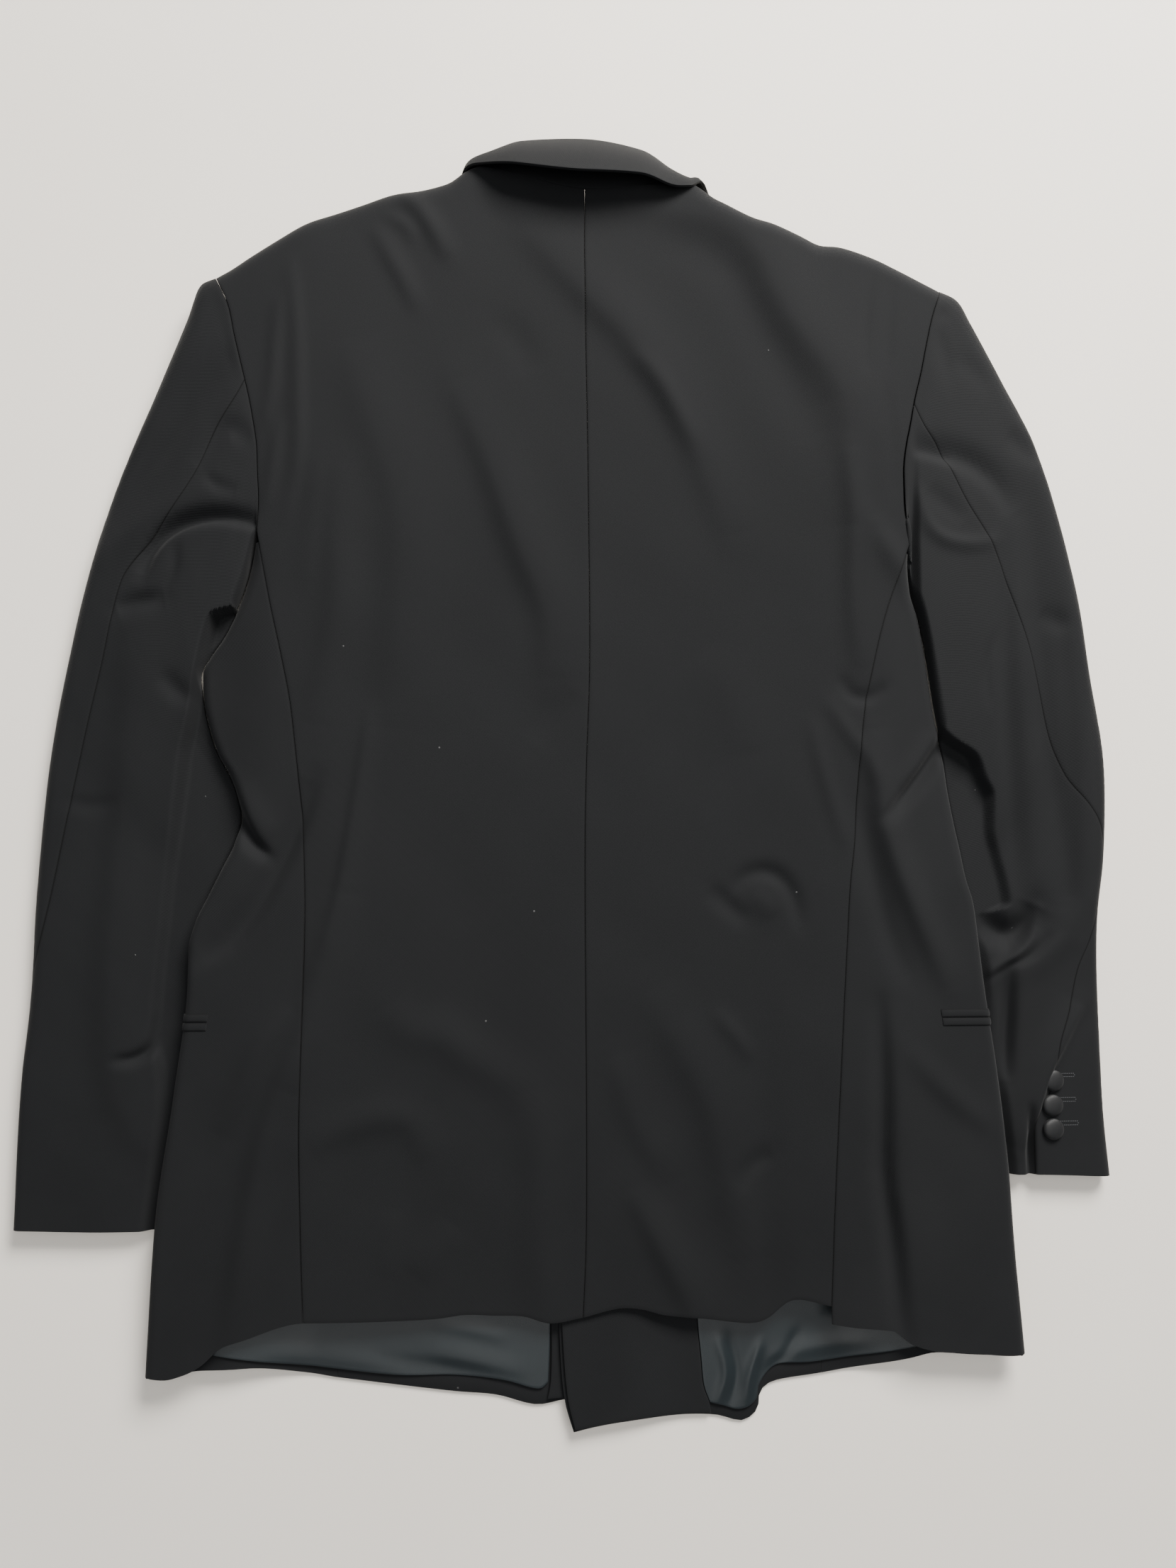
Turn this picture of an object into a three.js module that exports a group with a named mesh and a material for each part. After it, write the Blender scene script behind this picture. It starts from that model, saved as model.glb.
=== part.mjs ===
// A dinner jacket, laid face down on a flat surface, with its sleeves along its sides.
// Millimetres. +X is the wearer's right, +Y points to the collar and +Z is up.
// The origin is at the middle of the underside.
import * as THREE from "three";

// Cloth thicknesses and the air between pieces
const WOOL = 1.6;
const LINING = 1.0;
const SEAM = 0.6;
const LOOSE_LAYER = 0.9;
const HALF_SEAM = SEAM / 2;
const ARMHOLE_GAP = 1.2;

// Grid steps, across and along each piece
const BACK_GRID = [13, 28];
const SIDE_GRID = [12, 20];
const FRONT_GRID = [8, 22];
const TOP_SLEEVE_GRID = [11, 24];
const UNDER_SLEEVE_GRID = [12, 24];
const EDGE_CROWDING = 1.6;

// Finishes
const wool = () => new THREE.MeshStandardMaterial({ color: 0x1c1e21, roughness: 0.9, metalness: 0 });
const satin = () => new THREE.MeshStandardMaterial({ color: 0x39434a, roughness: 0.45, metalness: 0 });

const coat = new THREE.Group();

// Plain helpers
const clamp01 = (value) => Math.min(1, Math.max(0, value));
const mix = (a, b, t) => a + (b - a) * t;

function smooth(from, to, value) {
  const t = clamp01((value - from) / (to - from));
  return t * t * (3 - 2 * t);
}

// A curve through places in plan, read by its share of length.
function line(places) {
  const curve = new THREE.CatmullRomCurve3(
    places.map(([x, y]) => new THREE.Vector3(x, y, 0)), false, "centripetal");
  return (share) => {
    const p = curve.getPointAt(clamp01(share));
    return [p.x, p.y];
  };
}

// Reads a table's columns at any value of its first column, smoothly and without overshoot.
// The rows go up by their first column.
function table(rows) {
  const columns = rows[0].length - 1;
  const slopes = rows.map((row, i) => row.slice(1).map((value, c) => {
    const before = rows[i - 1];
    const after = rows[i + 1];
    const rise = (a, b) => (b[c + 1] - a[c + 1]) / (b[0] - a[0]);
    if (!before) return rise(row, after);
    if (!after) return rise(before, row);
    const lower = rise(before, row);
    const upper = rise(row, after);
    return lower * upper > 0 ? (2 * lower * upper) / (lower + upper) : 0;
  }));
  return (key) => {
    const last = rows.length - 1;
    if (key <= rows[0][0]) return rows[0].slice(1);
    if (key >= rows[last][0]) return rows[last].slice(1);
    const i = rows.findIndex((row) => row[0] > key) - 1;
    const span = rows[i + 1][0] - rows[i][0];
    const t = (key - rows[i][0]) / span;
    const result = [];
    for (let c = 0; c < columns; c++) {
      const a = rows[i][c + 1];
      const b = rows[i + 1][c + 1];
      result.push((2 * t ** 3 - 3 * t ** 2 + 1) * a + (t ** 3 - 2 * t ** 2 + t) * span * slopes[i][c]
        + (3 * t ** 2 - 2 * t ** 3) * b + (t ** 3 - t ** 2) * span * slopes[i + 1][c]);
    }
    return result;
  };
}

// A four-sided patch in plan: u runs from the inner side to the outer one, v from the top down.
// The corner at the top is felt less and less further down.
function patch({ top, bottom, inner, outer }) {
  const corners = { ti: top(0), to: top(1), bi: bottom(0), bo: bottom(1) };
  return (u, v) => [0, 1].map((axis) => {
    const across = mix(inner(v)[axis], outer(v)[axis], u);
    const topBow = top(u)[axis] - mix(corners.ti[axis], corners.to[axis], u);
    const bottomBow = bottom(u)[axis] - mix(corners.bi[axis], corners.bo[axis], u);
    return across + (1 - v) ** 2 * topBow + v ** 2 * bottomBow;
  });
}

// Soft folds: start, middle and end in plan, height over the cloth and half width.
function foldHeight(folds, x, y) {
  let height = 0;
  for (const [x0, y0, x1, y1, x2, y2, rise, width] of folds) {
    let nearest = Infinity;
    for (const [ax, ay, bx, by] of [[x0, y0, x1, y1], [x1, y1, x2, y2]]) {
      const t = clamp01(((x - ax) * (bx - ax) + (y - ay) * (by - ay)) / ((bx - ax) ** 2 + (by - ay) ** 2));
      nearest = Math.min(nearest, Math.hypot(x - mix(ax, bx, t), y - mix(ay, by, t)));
    }
    height += rise * Math.exp(-((nearest / width) ** 2));
  }
  return height;
}

// A closed wall between two skins: place(c, r, inside) gives the outer or the inner skin's point.
function addWall(name, material, [columns, rows], place) {
  const across = columns + 1;
  const skin = across * (rows + 1);
  const positions = [];
  for (const inside of [false, true]) {
    for (let r = 0; r <= rows; r++) {
      for (let c = 0; c <= columns; c++) positions.push(...place(c, r, inside));
    }
  }
  const faces = [];
  const quad = (a, b, c, d) => faces.push(a, b, c, a, c, d);
  for (let r = 0; r < rows; r++) {
    for (let c = 0; c < columns; c++) {
      const i = r * across + c;
      quad(i, i + 1, i + across + 1, i + across);
      quad(skin + i, skin + i + across, skin + i + across + 1, skin + i + 1);
    }
  }
  const rim = [];
  for (let c = 0; c < columns; c++) rim.push(c);
  for (let r = 0; r < rows; r++) rim.push(r * across + columns);
  for (let c = columns; c > 0; c--) rim.push(rows * across + c);
  for (let r = rows; r > 0; r--) rim.push(r * across);
  rim.forEach((a, i) => {
    const b = rim[(i + 1) % rim.length];
    quad(b, a, skin + a, skin + b);
  });
  addMesh(name, material, faceOut(positions, faces));
}

// Turns the faces round where they enclose a negative volume.
function faceOut(positions, faces) {
  const point = (i) => new THREE.Vector3(...positions.slice(3 * i, 3 * i + 3));
  let volume = 0;
  for (let i = 0; i < faces.length; i += 3) {
    volume += point(faces[i]).dot(point(faces[i + 1]).cross(point(faces[i + 2])));
  }
  if (volume < 0) faces.reverse();
  const geometry = new THREE.BufferGeometry();
  geometry.setAttribute("position", new THREE.Float32BufferAttribute(positions, 3));
  geometry.setIndex(faces);
  return geometry;
}

function addMesh(name, material, geometry) {
  geometry.computeVertexNormals();
  const mesh = new THREE.Mesh(geometry, material);
  mesh.name = name;
  coat.add(mesh);
}

// Outlines in plan, from the collar down. Left is the wearer's left, at negative X.
const CENTRE_SEAM = [[0, 411], [0, 356], [3, 190], [4, 59], [2, -4], [1, -59], [2, -328], [0, -383]];
const SIDES = {
  left: {
    sign: -1,
    neckAndShoulder: [[0, 411], [-21, 414], [-50, 420], [-84, 423], [-100, 415], [-119, 409], [-139, 405],
      [-159, 397], [-179, 389], [-199, 381], [-219, 368], [-239, 354], [-251, 345], [-262, 338]],
    armhole: [[-262, 338], [-251, 315], [-246, 293], [-240, 269], [-235, 249], [-232, 234], [-229, 215],
      [-228, 195], [-227, 175], [-228, 154]],
    sideSeam: [[-228, 154], [-224, 133], [-218, 103], [-210, 68], [-203, 34], [-199, 4], [-196, -21],
      [-193, -50], [-191, -80], [-190, -110], [-190, -199], [-191, -248], [-189, -318], [-186, -380]],
    backHem: [[0, -383], [-22, -386], [-40, -381], [-60, -380], [-80, -379], [-100, -381], [-186, -380]],
    // y, fold edge of the body
    edges: table([
      [-416, -288], [-382, -287], [-320, -285], [-230, -275], [-156, -268], [-134, -268], [-117, -264],
      [-99, -256], [-81, -248], [-63, -240], [-45, -236], [-30, -239], [-17, -244], [-1, -253],
      [19, -260], [38, -264], [55, -265], [68, -259], [80, -251], [99, -242], [120, -235], [139, -231],
      [150, -229.5],
    ]),
    frontSeamFlare: 57,
    pocketReach: 19,
    // distance from the middle, hem of the upper layer, hem of the layer underneath
    sideHem: table([
      [165, -380, -421], [186, -380, -417], [225, -390, -411], [238, -394, -411], [252, -406, -411],
      [262, -411, -412], [275, -414, -416], [290, -412, -414],
    ]),
    rollLine: [[-78, 415], [-70, 380], [-52, 300], [-28, 150], [-6, 10], [12, -50], [14, -200], [14, -437]],
    frontHem: [[14, -437], [-11, -439], [-31, -442], [-58, -435], [-86, -432], [-123, -427], [-165, -421]],
    lapelFold: [[-72, 372], [-54, 300], [-30, 150], [-8, 5]],
    lapelEdge: [[-98, 356], [-126, 322], [-106, 250], [-84, 150], [-30, 5]],
    liningEdge: [[-23, -427], [-28, -431], [-53, -425], [-86, -421], [-123, -420], [-170, -414],
      [-209, -408], [-245, -401]],
    facingEdge: [[-22, -350], [-22, -427]],
    sleeveOuter: [[-262, 338], [-272, 333], [-281, 307], [-301, 256], [-328, 185], [-345, 122], [-357, 60],
      [-366, -3], [-372, -98], [-373, -159], [-377, -234], [-378, -319]],
    sleeveInner: [[-228, 154], [-232.4, 139], [-236.4, 120], [-243.4, 99], [-252.6, 80], [-260.6, 68],
      [-266.4, 54], [-265.4, 38], [-261.4, 19], [-254.6, -1], [-245.6, -17], [-240.4, -30], [-237.4, -45],
      [-241.4, -63], [-249.4, -81], [-257.2, -99], [-262, -120], [-262, -150], [-252, -195], [-245, -240],
      [-240, -321]],
    cuff: [[-378, -319], [-320, -321], [-240, -321]],
    // Elbow seam, by y: it leaves over the outer edge where it passes beyond it.
    elbowSeam: table([
      [-330, -385], [-200, -380], [-130, -367], [-100, -361], [-41, -351], [14, -341], [58, -332],
      [117, -320], [151, -297], [193, -271], [226, -257], [250, -243], [262, -237],
    ]),
    // Where the sleeve drops to its lower part, which reaches to the body and passes under it, by y
    sleeveStep: table([
      [-321, 293], [-240, 291], [-192, 290], [-120, 286], [-87, 283], [-53, 279], [-17, 274], [10, 270],
      [30, 266], [50, 261], [68, 252], [80, 243], [99, 231], [139, 218],
    ]),
  },
  right: {
    sign: 1,
    neckAndShoulder: [[0, 411], [19, 411], [50, 414], [81, 416], [99, 409], [124, 397], [139, 393],
      [158, 385], [173, 378], [188, 377], [213, 369], [228, 362], [248, 352], [262, 345]],
    armhole: [[262, 345], [254, 323], [248, 298], [244, 279], [239, 259], [235, 239], [232, 225],
      [230, 210], [230, 195], [231, 175], [235, 155]],
    sideSeam: [[235, 155], [227, 133], [218, 108], [212, 88], [206, 63], [200, 34], [196, 4], [193, -31],
      [191, -60], [187, -90], [184, -130], [182, -159], [178, -219], [173, -298], [169, -377]],
    backHem: [[0, -383], [25, -379], [40, -381], [55, -386], [80, -390], [115, -396], [125, -394],
      [143, -383], [169, -389]],
    edges: table([
      [-416, 304], [-374, 301], [-329, 298], [-286, 296], [-213, 289], [-159, 282], [-131, 279],
      [-103, 276], [-87, 272], [-67, 269], [-45, 265], [-20, 261], [-1, 259], [15, 256], [29, 253],
      [58, 249], [80, 246], [101, 242], [120, 236], [139, 234.5], [150, 235],
    ]),
    frontSeamFlare: 61,
    pocketReach: 38,
    sideHem: table([
      [165, -388, -426], [184, -391, -423], [211, -394, -418], [224, -403, -415], [242, -408, -411],
      [269, -410, -413], [294, -412, -414], [306, -411, -414],
    ]),
    rollLine: [[76, 409], [68, 376], [50, 300], [26, 150], [4, 10], [-14, -50], [-17, -200], [-16, -390],
      [-12, -439], [-6, -459]],
    frontHem: [[-6, -459], [8, -456], [30, -453], [70, -451], [92, -452], [110, -456], [120, -449],
      [122, -438], [128, -432], [165, -426]],
    lapelFold: [[70, 372], [52, 300], [30, 150], [9, 5]],
    lapelEdge: [[96, 356], [124, 322], [104, 250], [82, 150], [30, 5]],
    liningEdge: [[87, -443], [95, -445], [106, -448], [114, -446], [119, -441], [121, -432], [132, -420],
      [159, -418], [203, -412], [231, -406]],
    facingEdge: [[78, -350], [79, -391], [81, -412], [83, -432], [87, -443]],
    sleeveOuter: [[262, 345], [275, 339], [285, 322], [309, 279], [332, 235], [348, 182], [362, 121],
      [370, 60], [378, -1], [375.5, -70], [370, -110], [368, -145], [368, -198], [369, -253], [372, -295]],
    sleeveInner: [[236, 155], [236, 139], [237.4, 120], [243.2, 101], [247.2, 80], [250.2, 58], [254.2, 29],
      [257.2, 15], [260.2, -1], [262.2, -20], [266.2, -45], [270.2, -67], [273.2, -87], [276.5, -104],
      [273, -130], [267, -152], [256, -180], [247, -220], [242, -294]],
    cuff: [[372, -295], [318, -293], [242, -294]],
    elbowSeam: table([
      [-300, 317], [-261, 317], [-235, 329], [-204, 335], [-179, 344], [-150, 352], [-130, 361],
      [-112, 367], [-90, 371.5], [-68, 374], [-50, 372], [-12, 347], [13, 337], [57, 328], [77, 323],
      [101, 315], [155, 295], [185, 277], [226, 256], [240, 246], [256, 238],
    ]),
    sleeveStep: table([
      [-300, 301], [-240, 299], [-200, 297], [-150, 292], [-112, 292], [-90, 291], [-60, 290], [-30, 287],
      [-8, 278], [5, 268], [14, 258], [29, 247], [58, 238],
    ]),
  },
};

// Height of the back's face by y: along the centre seam, at the side seam or armhole, at the fold edge
const BACK_HEIGHT = table([
  [-420, 10.5, 17.5, 17.5], [-385, 11, 18, 18], [-200, 13, 19.5, 18.5], [-100, 13.5, 19.5, 18],
  [-40, 14, 18.5, 15], [40, 14.5, 18.5, 13.5], [100, 15.5, 20, 15], [150, 17, 22, 19],
  [250, 19.5, 25.5, 25], [350, 22.5, 26.5, 26], [430, 25, 25, 25],
]);
const SIDE_ZONE = [60, 205];
const EDGE_ZONE = [212, 262];

// Height of the body's underside at its side edges by y: the lower sleeves pass under it there
const EDGE_LIFT = table([[-420, 9.4], [-115, 9.2], [-62, 1.5], [-20, 0.4], [60, 0.4], [155, 1.6]]);
const LIFT_ZONE = [176, 240];
// The lapels lie under the chest, and the fastened front button under the front edge.
const LAPEL_LIFT = 1.7;
const LAPEL_LIFT_RANGE = [-75, -35];
const FRONT_BUTTON = { x: 0, y: -62 };
const FRONT_BUTTON_LIFT = 5.6;
const FRONT_BUTTON_SPREAD = 50;
// The right front lies over the left one at the middle.
const OVERLAP_LIFT = WOOL + LOOSE_LAYER + LINING + LOOSE_LAYER;
const OVERLAP_ZONE = [24, 74];
// The side panels start below the underarm.
const SIDE_TOP = 146;
// The front seam underneath: its distance from the middle, and the stretch where it flares outward
const FRONT_SEAM = 165;
const FLARE_RANGE = [-250, 150];
const FRONT_SEAM_STEP = 25;
const FRONT_SEAM_END = -400;
const SHOULDER_EDGE_HEIGHT = 12;
const SHOULDER_ROLL = 14;
const BODY_LENGTH = 780;
const NECK_TO_SHOULDER = [74, 98];

// The back's largest folds: start x y, middle x y, end x y, height (troughs are negative), half width
const BACK_FOLDS = [
  [-221, 312, -222, 272, -221, 232, -2.2, 9],
  [-206, 300, -206, 245, -205, 190, -2.0, 8],
  [-157, 246, -148, 200, -138, 149, -2.2, 14],
  [-86, 247, -53, 141, -25, 98, -2.4, 18],
  [-133, 390, -128, 360, -122, 330, -1.6, 12],
  [-157, -2, -171, -92, -188, -176, -3.0, 15],
  [-188, -176, -215, -240, -238, -380, -2.2, 13],
  [-232, -46, -216, -74, -190, -60, -3.4, 9],
  [-206, -84, -228, -112, -256, -139, -2.4, 10],
  [-128, -184, -94, -209, -67, -228, -1.6, 14],
  [-40, -250, -38, -300, -36, -372, -2.0, 14],
  [130, 344, 146, 302, 173, 269, -2.6, 15],
  [173, 269, 190, 190, 190, 76, -2.8, 13],
  [36, 286, 73, 225, 87, 190, -2.0, 14],
  [214, -5, 216, -60, 256, -140, 2.8, 10],
  [200, -55, 214, -101, 228, -128, -2.6, 9],
  [108, -92, 124, -85, 142, -100, -2.2, 11],
  [210, -181, 211, -300, 217, -385, -3.0, 13],
  [47, -187, 56, -204, 66, -220, -1.6, 11],
  [36, -317, 55, -346, 72, -375, 1.6, 14],
];

// Sleeve folds, with the same columns
const SLEEVE_FOLDS = {
  left: [
    [-232, 160, -266, 163, -300, 138, -4.2, 9],
    [-256, 278, -290, 230, -319, 178, -2.2, 14],
    [-303, 106, -296, 80, -284, 49, -2.4, 13],
    [-318, 80, -320, -30, -327, -114, -2.2, 13],
    [-326, -140, -326, -198, -317, -240, -2.0, 12],
    [-344, 20, -352, -60, -352, -150, -1.4, 12],
  ],
  right: [
    [242, 226, 276, 228, 311, 192, -2.6, 11],
    [318, 232, 322, 226, 330, 216, -2.4, 10],
    [262, 168, 268, 158, 274, 140, 2.4, 10],
    [301, 160, 298, 60, 304, -80, -2.4, 11],
    [324, 140, 326, 40, 326, -70, 2.0, 10],
    [350, 60, 351, -20, 350, -100, -2.8, 11],
    [280, -112, 304, -137, 324, -112, -3.4, 8],
    [322, -128, 304, -142, 288, -158, 2.6, 8],
    [306, -156, 303, -185, 299, -215, -3.0, 8],
  ],
};

function frontSeam(side, y) {
  const share = clamp01((y - FLARE_RANGE[0]) / (FLARE_RANGE[1] - FLARE_RANGE[0]));
  return FRONT_SEAM + side.frontSeamFlare * share ** 2;
}

function bodyTop(x, y) {
  const [centre, side, edge] = BACK_HEIGHT(y);
  const out = Math.abs(x);
  const level = mix(mix(centre, side, smooth(...SIDE_ZONE, out)), edge, smooth(...EDGE_ZONE, out));
  return level + foldHeight(BACK_FOLDS, x, y);
}

function bodyLow(x, y) {
  const edge = EDGE_LIFT(y)[0] * smooth(...LIFT_ZONE, Math.abs(x));
  const lapel = LAPEL_LIFT * smooth(...LAPEL_LIFT_RANGE, y);
  const away = Math.hypot(x - FRONT_BUTTON.x, y - FRONT_BUTTON.y) / FRONT_BUTTON_SPREAD;
  const button = FRONT_BUTTON_LIFT * Math.exp(-(away ** 4));
  return Math.max(edge, lapel, button);
}

// A rolled edge: how far up and how far out the cloth faces at a distance from the edge.
function roll(distance, radius) {
  const out = 1 - clamp01(distance / radius);
  return { up: Math.sqrt(1 - out * out), out };
}

// Shares of a length that begin with a given few and go on evenly to the end
function shares(count, first) {
  const list = [...first];
  const left = count + 1 - first.length;
  const start = first[first.length - 1];
  for (let i = 1; i <= left; i++) list.push(mix(start, 1, i / left));
  return list;
}

// Grid rows of the upper body: close together at the rolled shoulder, one row at the underarm
const UNDERARM_SHARE = 0.26;
const SHOULDER_ROWS = [0, 0.003, 0.01, 0.019, 0.04];
const ROWS_TO_UNDERARM = 5;
function bodyRows(count) {
  const rows = [...SHOULDER_ROWS];
  const start = rows[rows.length - 1];
  for (let i = 1; i <= ROWS_TO_UNDERARM; i++) rows.push(mix(start, UNDERARM_SHARE, i / ROWS_TO_UNDERARM));
  return shares(count, rows);
}

// Armhole and side seam as one line, with the underarm at its share
function twoLines(upper, lower) {
  return (v) => (v < UNDERARM_SHARE
    ? upper(v / UNDERARM_SHARE)
    : lower((v - UNDERARM_SHARE) / (1 - UNDERARM_SHARE)));
}

// The way that the shoulder's edge faces in plan
const SHOULDER_FACING = [0.36, 0.93];
const shoulderOut = (sign) => [sign * SHOULDER_FACING[0], SHOULDER_FACING[1]];

// Backs: from the centre seam to the armhole and side seam
function buildBack(side, name) {
  const shape = patch({
    top: line(side.neckAndShoulder),
    bottom: line(side.backHem),
    inner: line(CENTRE_SEAM),
    outer: twoLines(line(side.armhole), line(side.sideSeam)),
  });
  const rows = bodyRows(BACK_GRID[1]);
  addWall(name, wool(), BACK_GRID, (c, r, inside) => {
    const u = c / BACK_GRID[0];
    const v = rows[r];
    let [x, y] = shape(u, v);
    if (c === 0) x += side.sign * HALF_SEAM;
    if (c === BACK_GRID[0]) x -= side.sign * HALF_SEAM;
    const shoulder = smooth(...NECK_TO_SHOULDER, Math.abs(shape(u, 0)[0]));
    const { up, out } = roll(v * BODY_LENGTH, SHOULDER_ROLL);
    const face = bodyTop(x, y);
    const edgeHeight = mix(face, SHOULDER_EDGE_HEIGHT + HALF_SEAM, shoulder);
    let z = mix(edgeHeight, face, up);
    if (inside) {
      const outward = shoulderOut(side.sign);
      const lean = out * shoulder;
      x -= WOOL * lean * outward[0];
      y -= WOOL * lean * outward[1];
      z -= WOOL * Math.sqrt(1 - lean * lean);
    }
    return [x, y, z];
  });
}

// Distance along a rolled edge's face, from the middle of the roll, to a plan distance from the edge
function alongRoll(distance, radius) {
  const quarter = (Math.PI / 2) * radius;
  if (distance < radius) return radius * Math.acos(1 - Math.max(0, distance) / radius);
  return quarter + distance - radius;
}

// The reverse: plan distance from the edge, with the way the cloth faces there
function acrossRoll(along, radius) {
  const quarter = (Math.PI / 2) * radius;
  const way = Math.abs(along);
  if (way >= quarter) return { distance: radius + way - quarter, up: 1, out: 0 };
  const turn = way / radius;
  return { distance: radius * (1 - Math.cos(turn)), up: Math.sin(turn), out: Math.cos(turn) };
}

// Spreads columns between two places along a face, closer together on its rolls
const SEARCH_ROUNDS = 30;
function crowded(from, to, share, rolls) {
  const count = (along) => rolls.reduce(
    (sum, { at, size }) => sum + EDGE_CROWDING * size * Math.tanh((along - at) / size), along);
  const wanted = mix(count(from), count(to), share);
  let low = Math.min(from, to);
  let high = Math.max(from, to);
  for (let i = 0; i < SEARCH_ROUNDS; i++) {
    const middle = (low + high) / 2;
    if (count(middle) < wanted) low = middle;
    else high = middle;
  }
  return (low + high) / 2;
}

// Sides: from the back's seam, round the fold edge, to the front's seam underneath
const HEM_LEVEL = -400;
const SIDE_ROLL_RATIO = 1.1;
const WIDEST_ROLL = { ofWidth: 0.9, more: 2 };
// The place on a side's face at a level y: along runs from the fold edge, upward on top.
// share, where given, picks the place between the back's seam and the front's seam instead.
function sideFace(side, y, { along, share }) {
  const [edge] = side.edges(y);
  const upperWidth = Math.abs(edge - side.seamAt(y)[0]) - HALF_SEAM;
  const half = (bodyTop(edge, y) - bodyLow(edge, y)) / 2;
  const radius = Math.min(SIDE_ROLL_RATIO * half, WIDEST_ROLL.ofWidth * upperWidth + WIDEST_ROLL.more);
  const from = alongRoll(upperWidth, radius);
  const to = -alongRoll(Math.abs(edge) - frontSeam(side, y) - HALF_SEAM, radius);
  const way = along ?? crowded(from, to, share, [{ at: 0, size: radius }]);
  const { distance, up, out } = acrossRoll(way, radius);
  const x = edge - side.sign * distance;
  const high = bodyTop(x, y);
  const low = bodyLow(x, y);
  const upper = way > 0;
  const z = mix((high + low) / 2, upper ? high : low, up);
  return { x, y, z, outward: [side.sign * out, 0, upper ? up : -up], upper };
}

const movedOut = ({ x, y, z, outward }, by) => [x + by * outward[0], y, z + by * outward[2]];

function buildSide(side, name) {
  addWall(name, wool(), SIDE_GRID, (c, r, inside) => {
    const share = c / SIDE_GRID[0];
    const foot = sideFace(side, HEM_LEVEL, { share });
    const [upperHem, lowerHem] = side.sideHem(Math.abs(foot.x));
    const hem = foot.upper ? upperHem : lowerHem;
    const y = mix(SIDE_TOP, hem, r / SIDE_GRID[1]);
    return movedOut(sideFace(side, y, { share }), inside ? -WOOL : 0);
  });
}

// Pocket jets: two narrow welts that lie on the side and run round its fold edge
const JET = { width: 5.3, thickness: 0.8, under: -4, top: -177.6, raised: 0.8 };
const JET_GRID = [9, 1];
function buildJets(side, key) {
  ["upper", "lower"].forEach((level, i) => {
    const start = JET.top - i * (JET.width + SEAM);
    addWall(`pocket_jet_${level}_${key}`, wool(), JET_GRID, (c, r, inside) => {
      const y = start - JET.width * (r / JET_GRID[1]);
      const along = mix(side.pocketReach, JET.under, c / JET_GRID[0]);
      return movedOut(sideFace(side, y, { along }), inside ? JET.raised : JET.raised + JET.thickness);
    });
  });
}

// The face that looks up on the inside of a front, over its wool
function frontInside(side, x, y) {
  return frontLow(side, x, y) + WOOL;
}

function frontLow(side, x, y) {
  const over = side.sign > 0 ? OVERLAP_LIFT * (1 - smooth(...OVERLAP_ZONE, x)) : 0;
  return bodyLow(x, y) + over;
}

// Fronts: they lie underneath, from the roll line and front edge to the armhole and front seam
function frontPatch(side) {
  const underarmLevel = side.armhole[side.armhole.length - 1][1];
  const underarm = [side.sign * frontSeam(side, underarmLevel), underarmLevel];
  const armhole = line([...side.armhole.slice(0, -1), underarm]);
  const places = [underarm];
  for (let y = SIDE_TOP; y > FRONT_SEAM_END; y -= FRONT_SEAM_STEP) {
    places.push([side.sign * frontSeam(side, y), y]);
  }
  places.push(side.frontHem[side.frontHem.length - 1]);
  const seam = line(places);
  const neck = side.rollLine[0];
  const shoulder = side.neckAndShoulder.filter(([x]) => Math.abs(x) > Math.abs(neck[0]) + 4);
  return patch({
    top: line([neck, ...shoulder]),
    bottom: line(side.frontHem),
    inner: line(side.rollLine),
    outer: twoLines(armhole, seam),
  });
}

function buildFront(side, name) {
  const shape = frontPatch(side);
  const rows = bodyRows(FRONT_GRID[1]);
  addWall(name, wool(), FRONT_GRID, (c, r, inside) => {
    const v = rows[r];
    let [x, y] = shape(c / FRONT_GRID[0], v);
    if (c === FRONT_GRID[0]) x -= side.sign * HALF_SEAM;
    const { up, out } = roll(v * BODY_LENGTH, SHOULDER_ROLL);
    let z = mix(SHOULDER_EDGE_HEIGHT - HALF_SEAM, frontLow(side, x, y), up);
    if (inside) {
      const outward = shoulderOut(side.sign);
      x -= WOOL * out * outward[0];
      y -= WOOL * out * outward[1];
      z += WOOL * up;
    }
    return [x, y, z];
  });
}

// Lining and facing: they lie on the fronts and show below the back's hem
const INSIDE_TOP = -345;
function buildInside(side, name, material, thickness, grid, left, right, bottom) {
  const top = (u) => [mix(left(0)[0], right(0)[0], u), INSIDE_TOP];
  const shape = patch({ top, bottom, inner: left, outer: right });
  addWall(name, material, grid, (c, r, inside) => {
    const [x, y] = shape(c / grid[0], r / grid[1]);
    const z = frontInside(side, x, y) + LOOSE_LAYER;
    return [x, y, inside ? z : z + thickness];
  });
}

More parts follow.
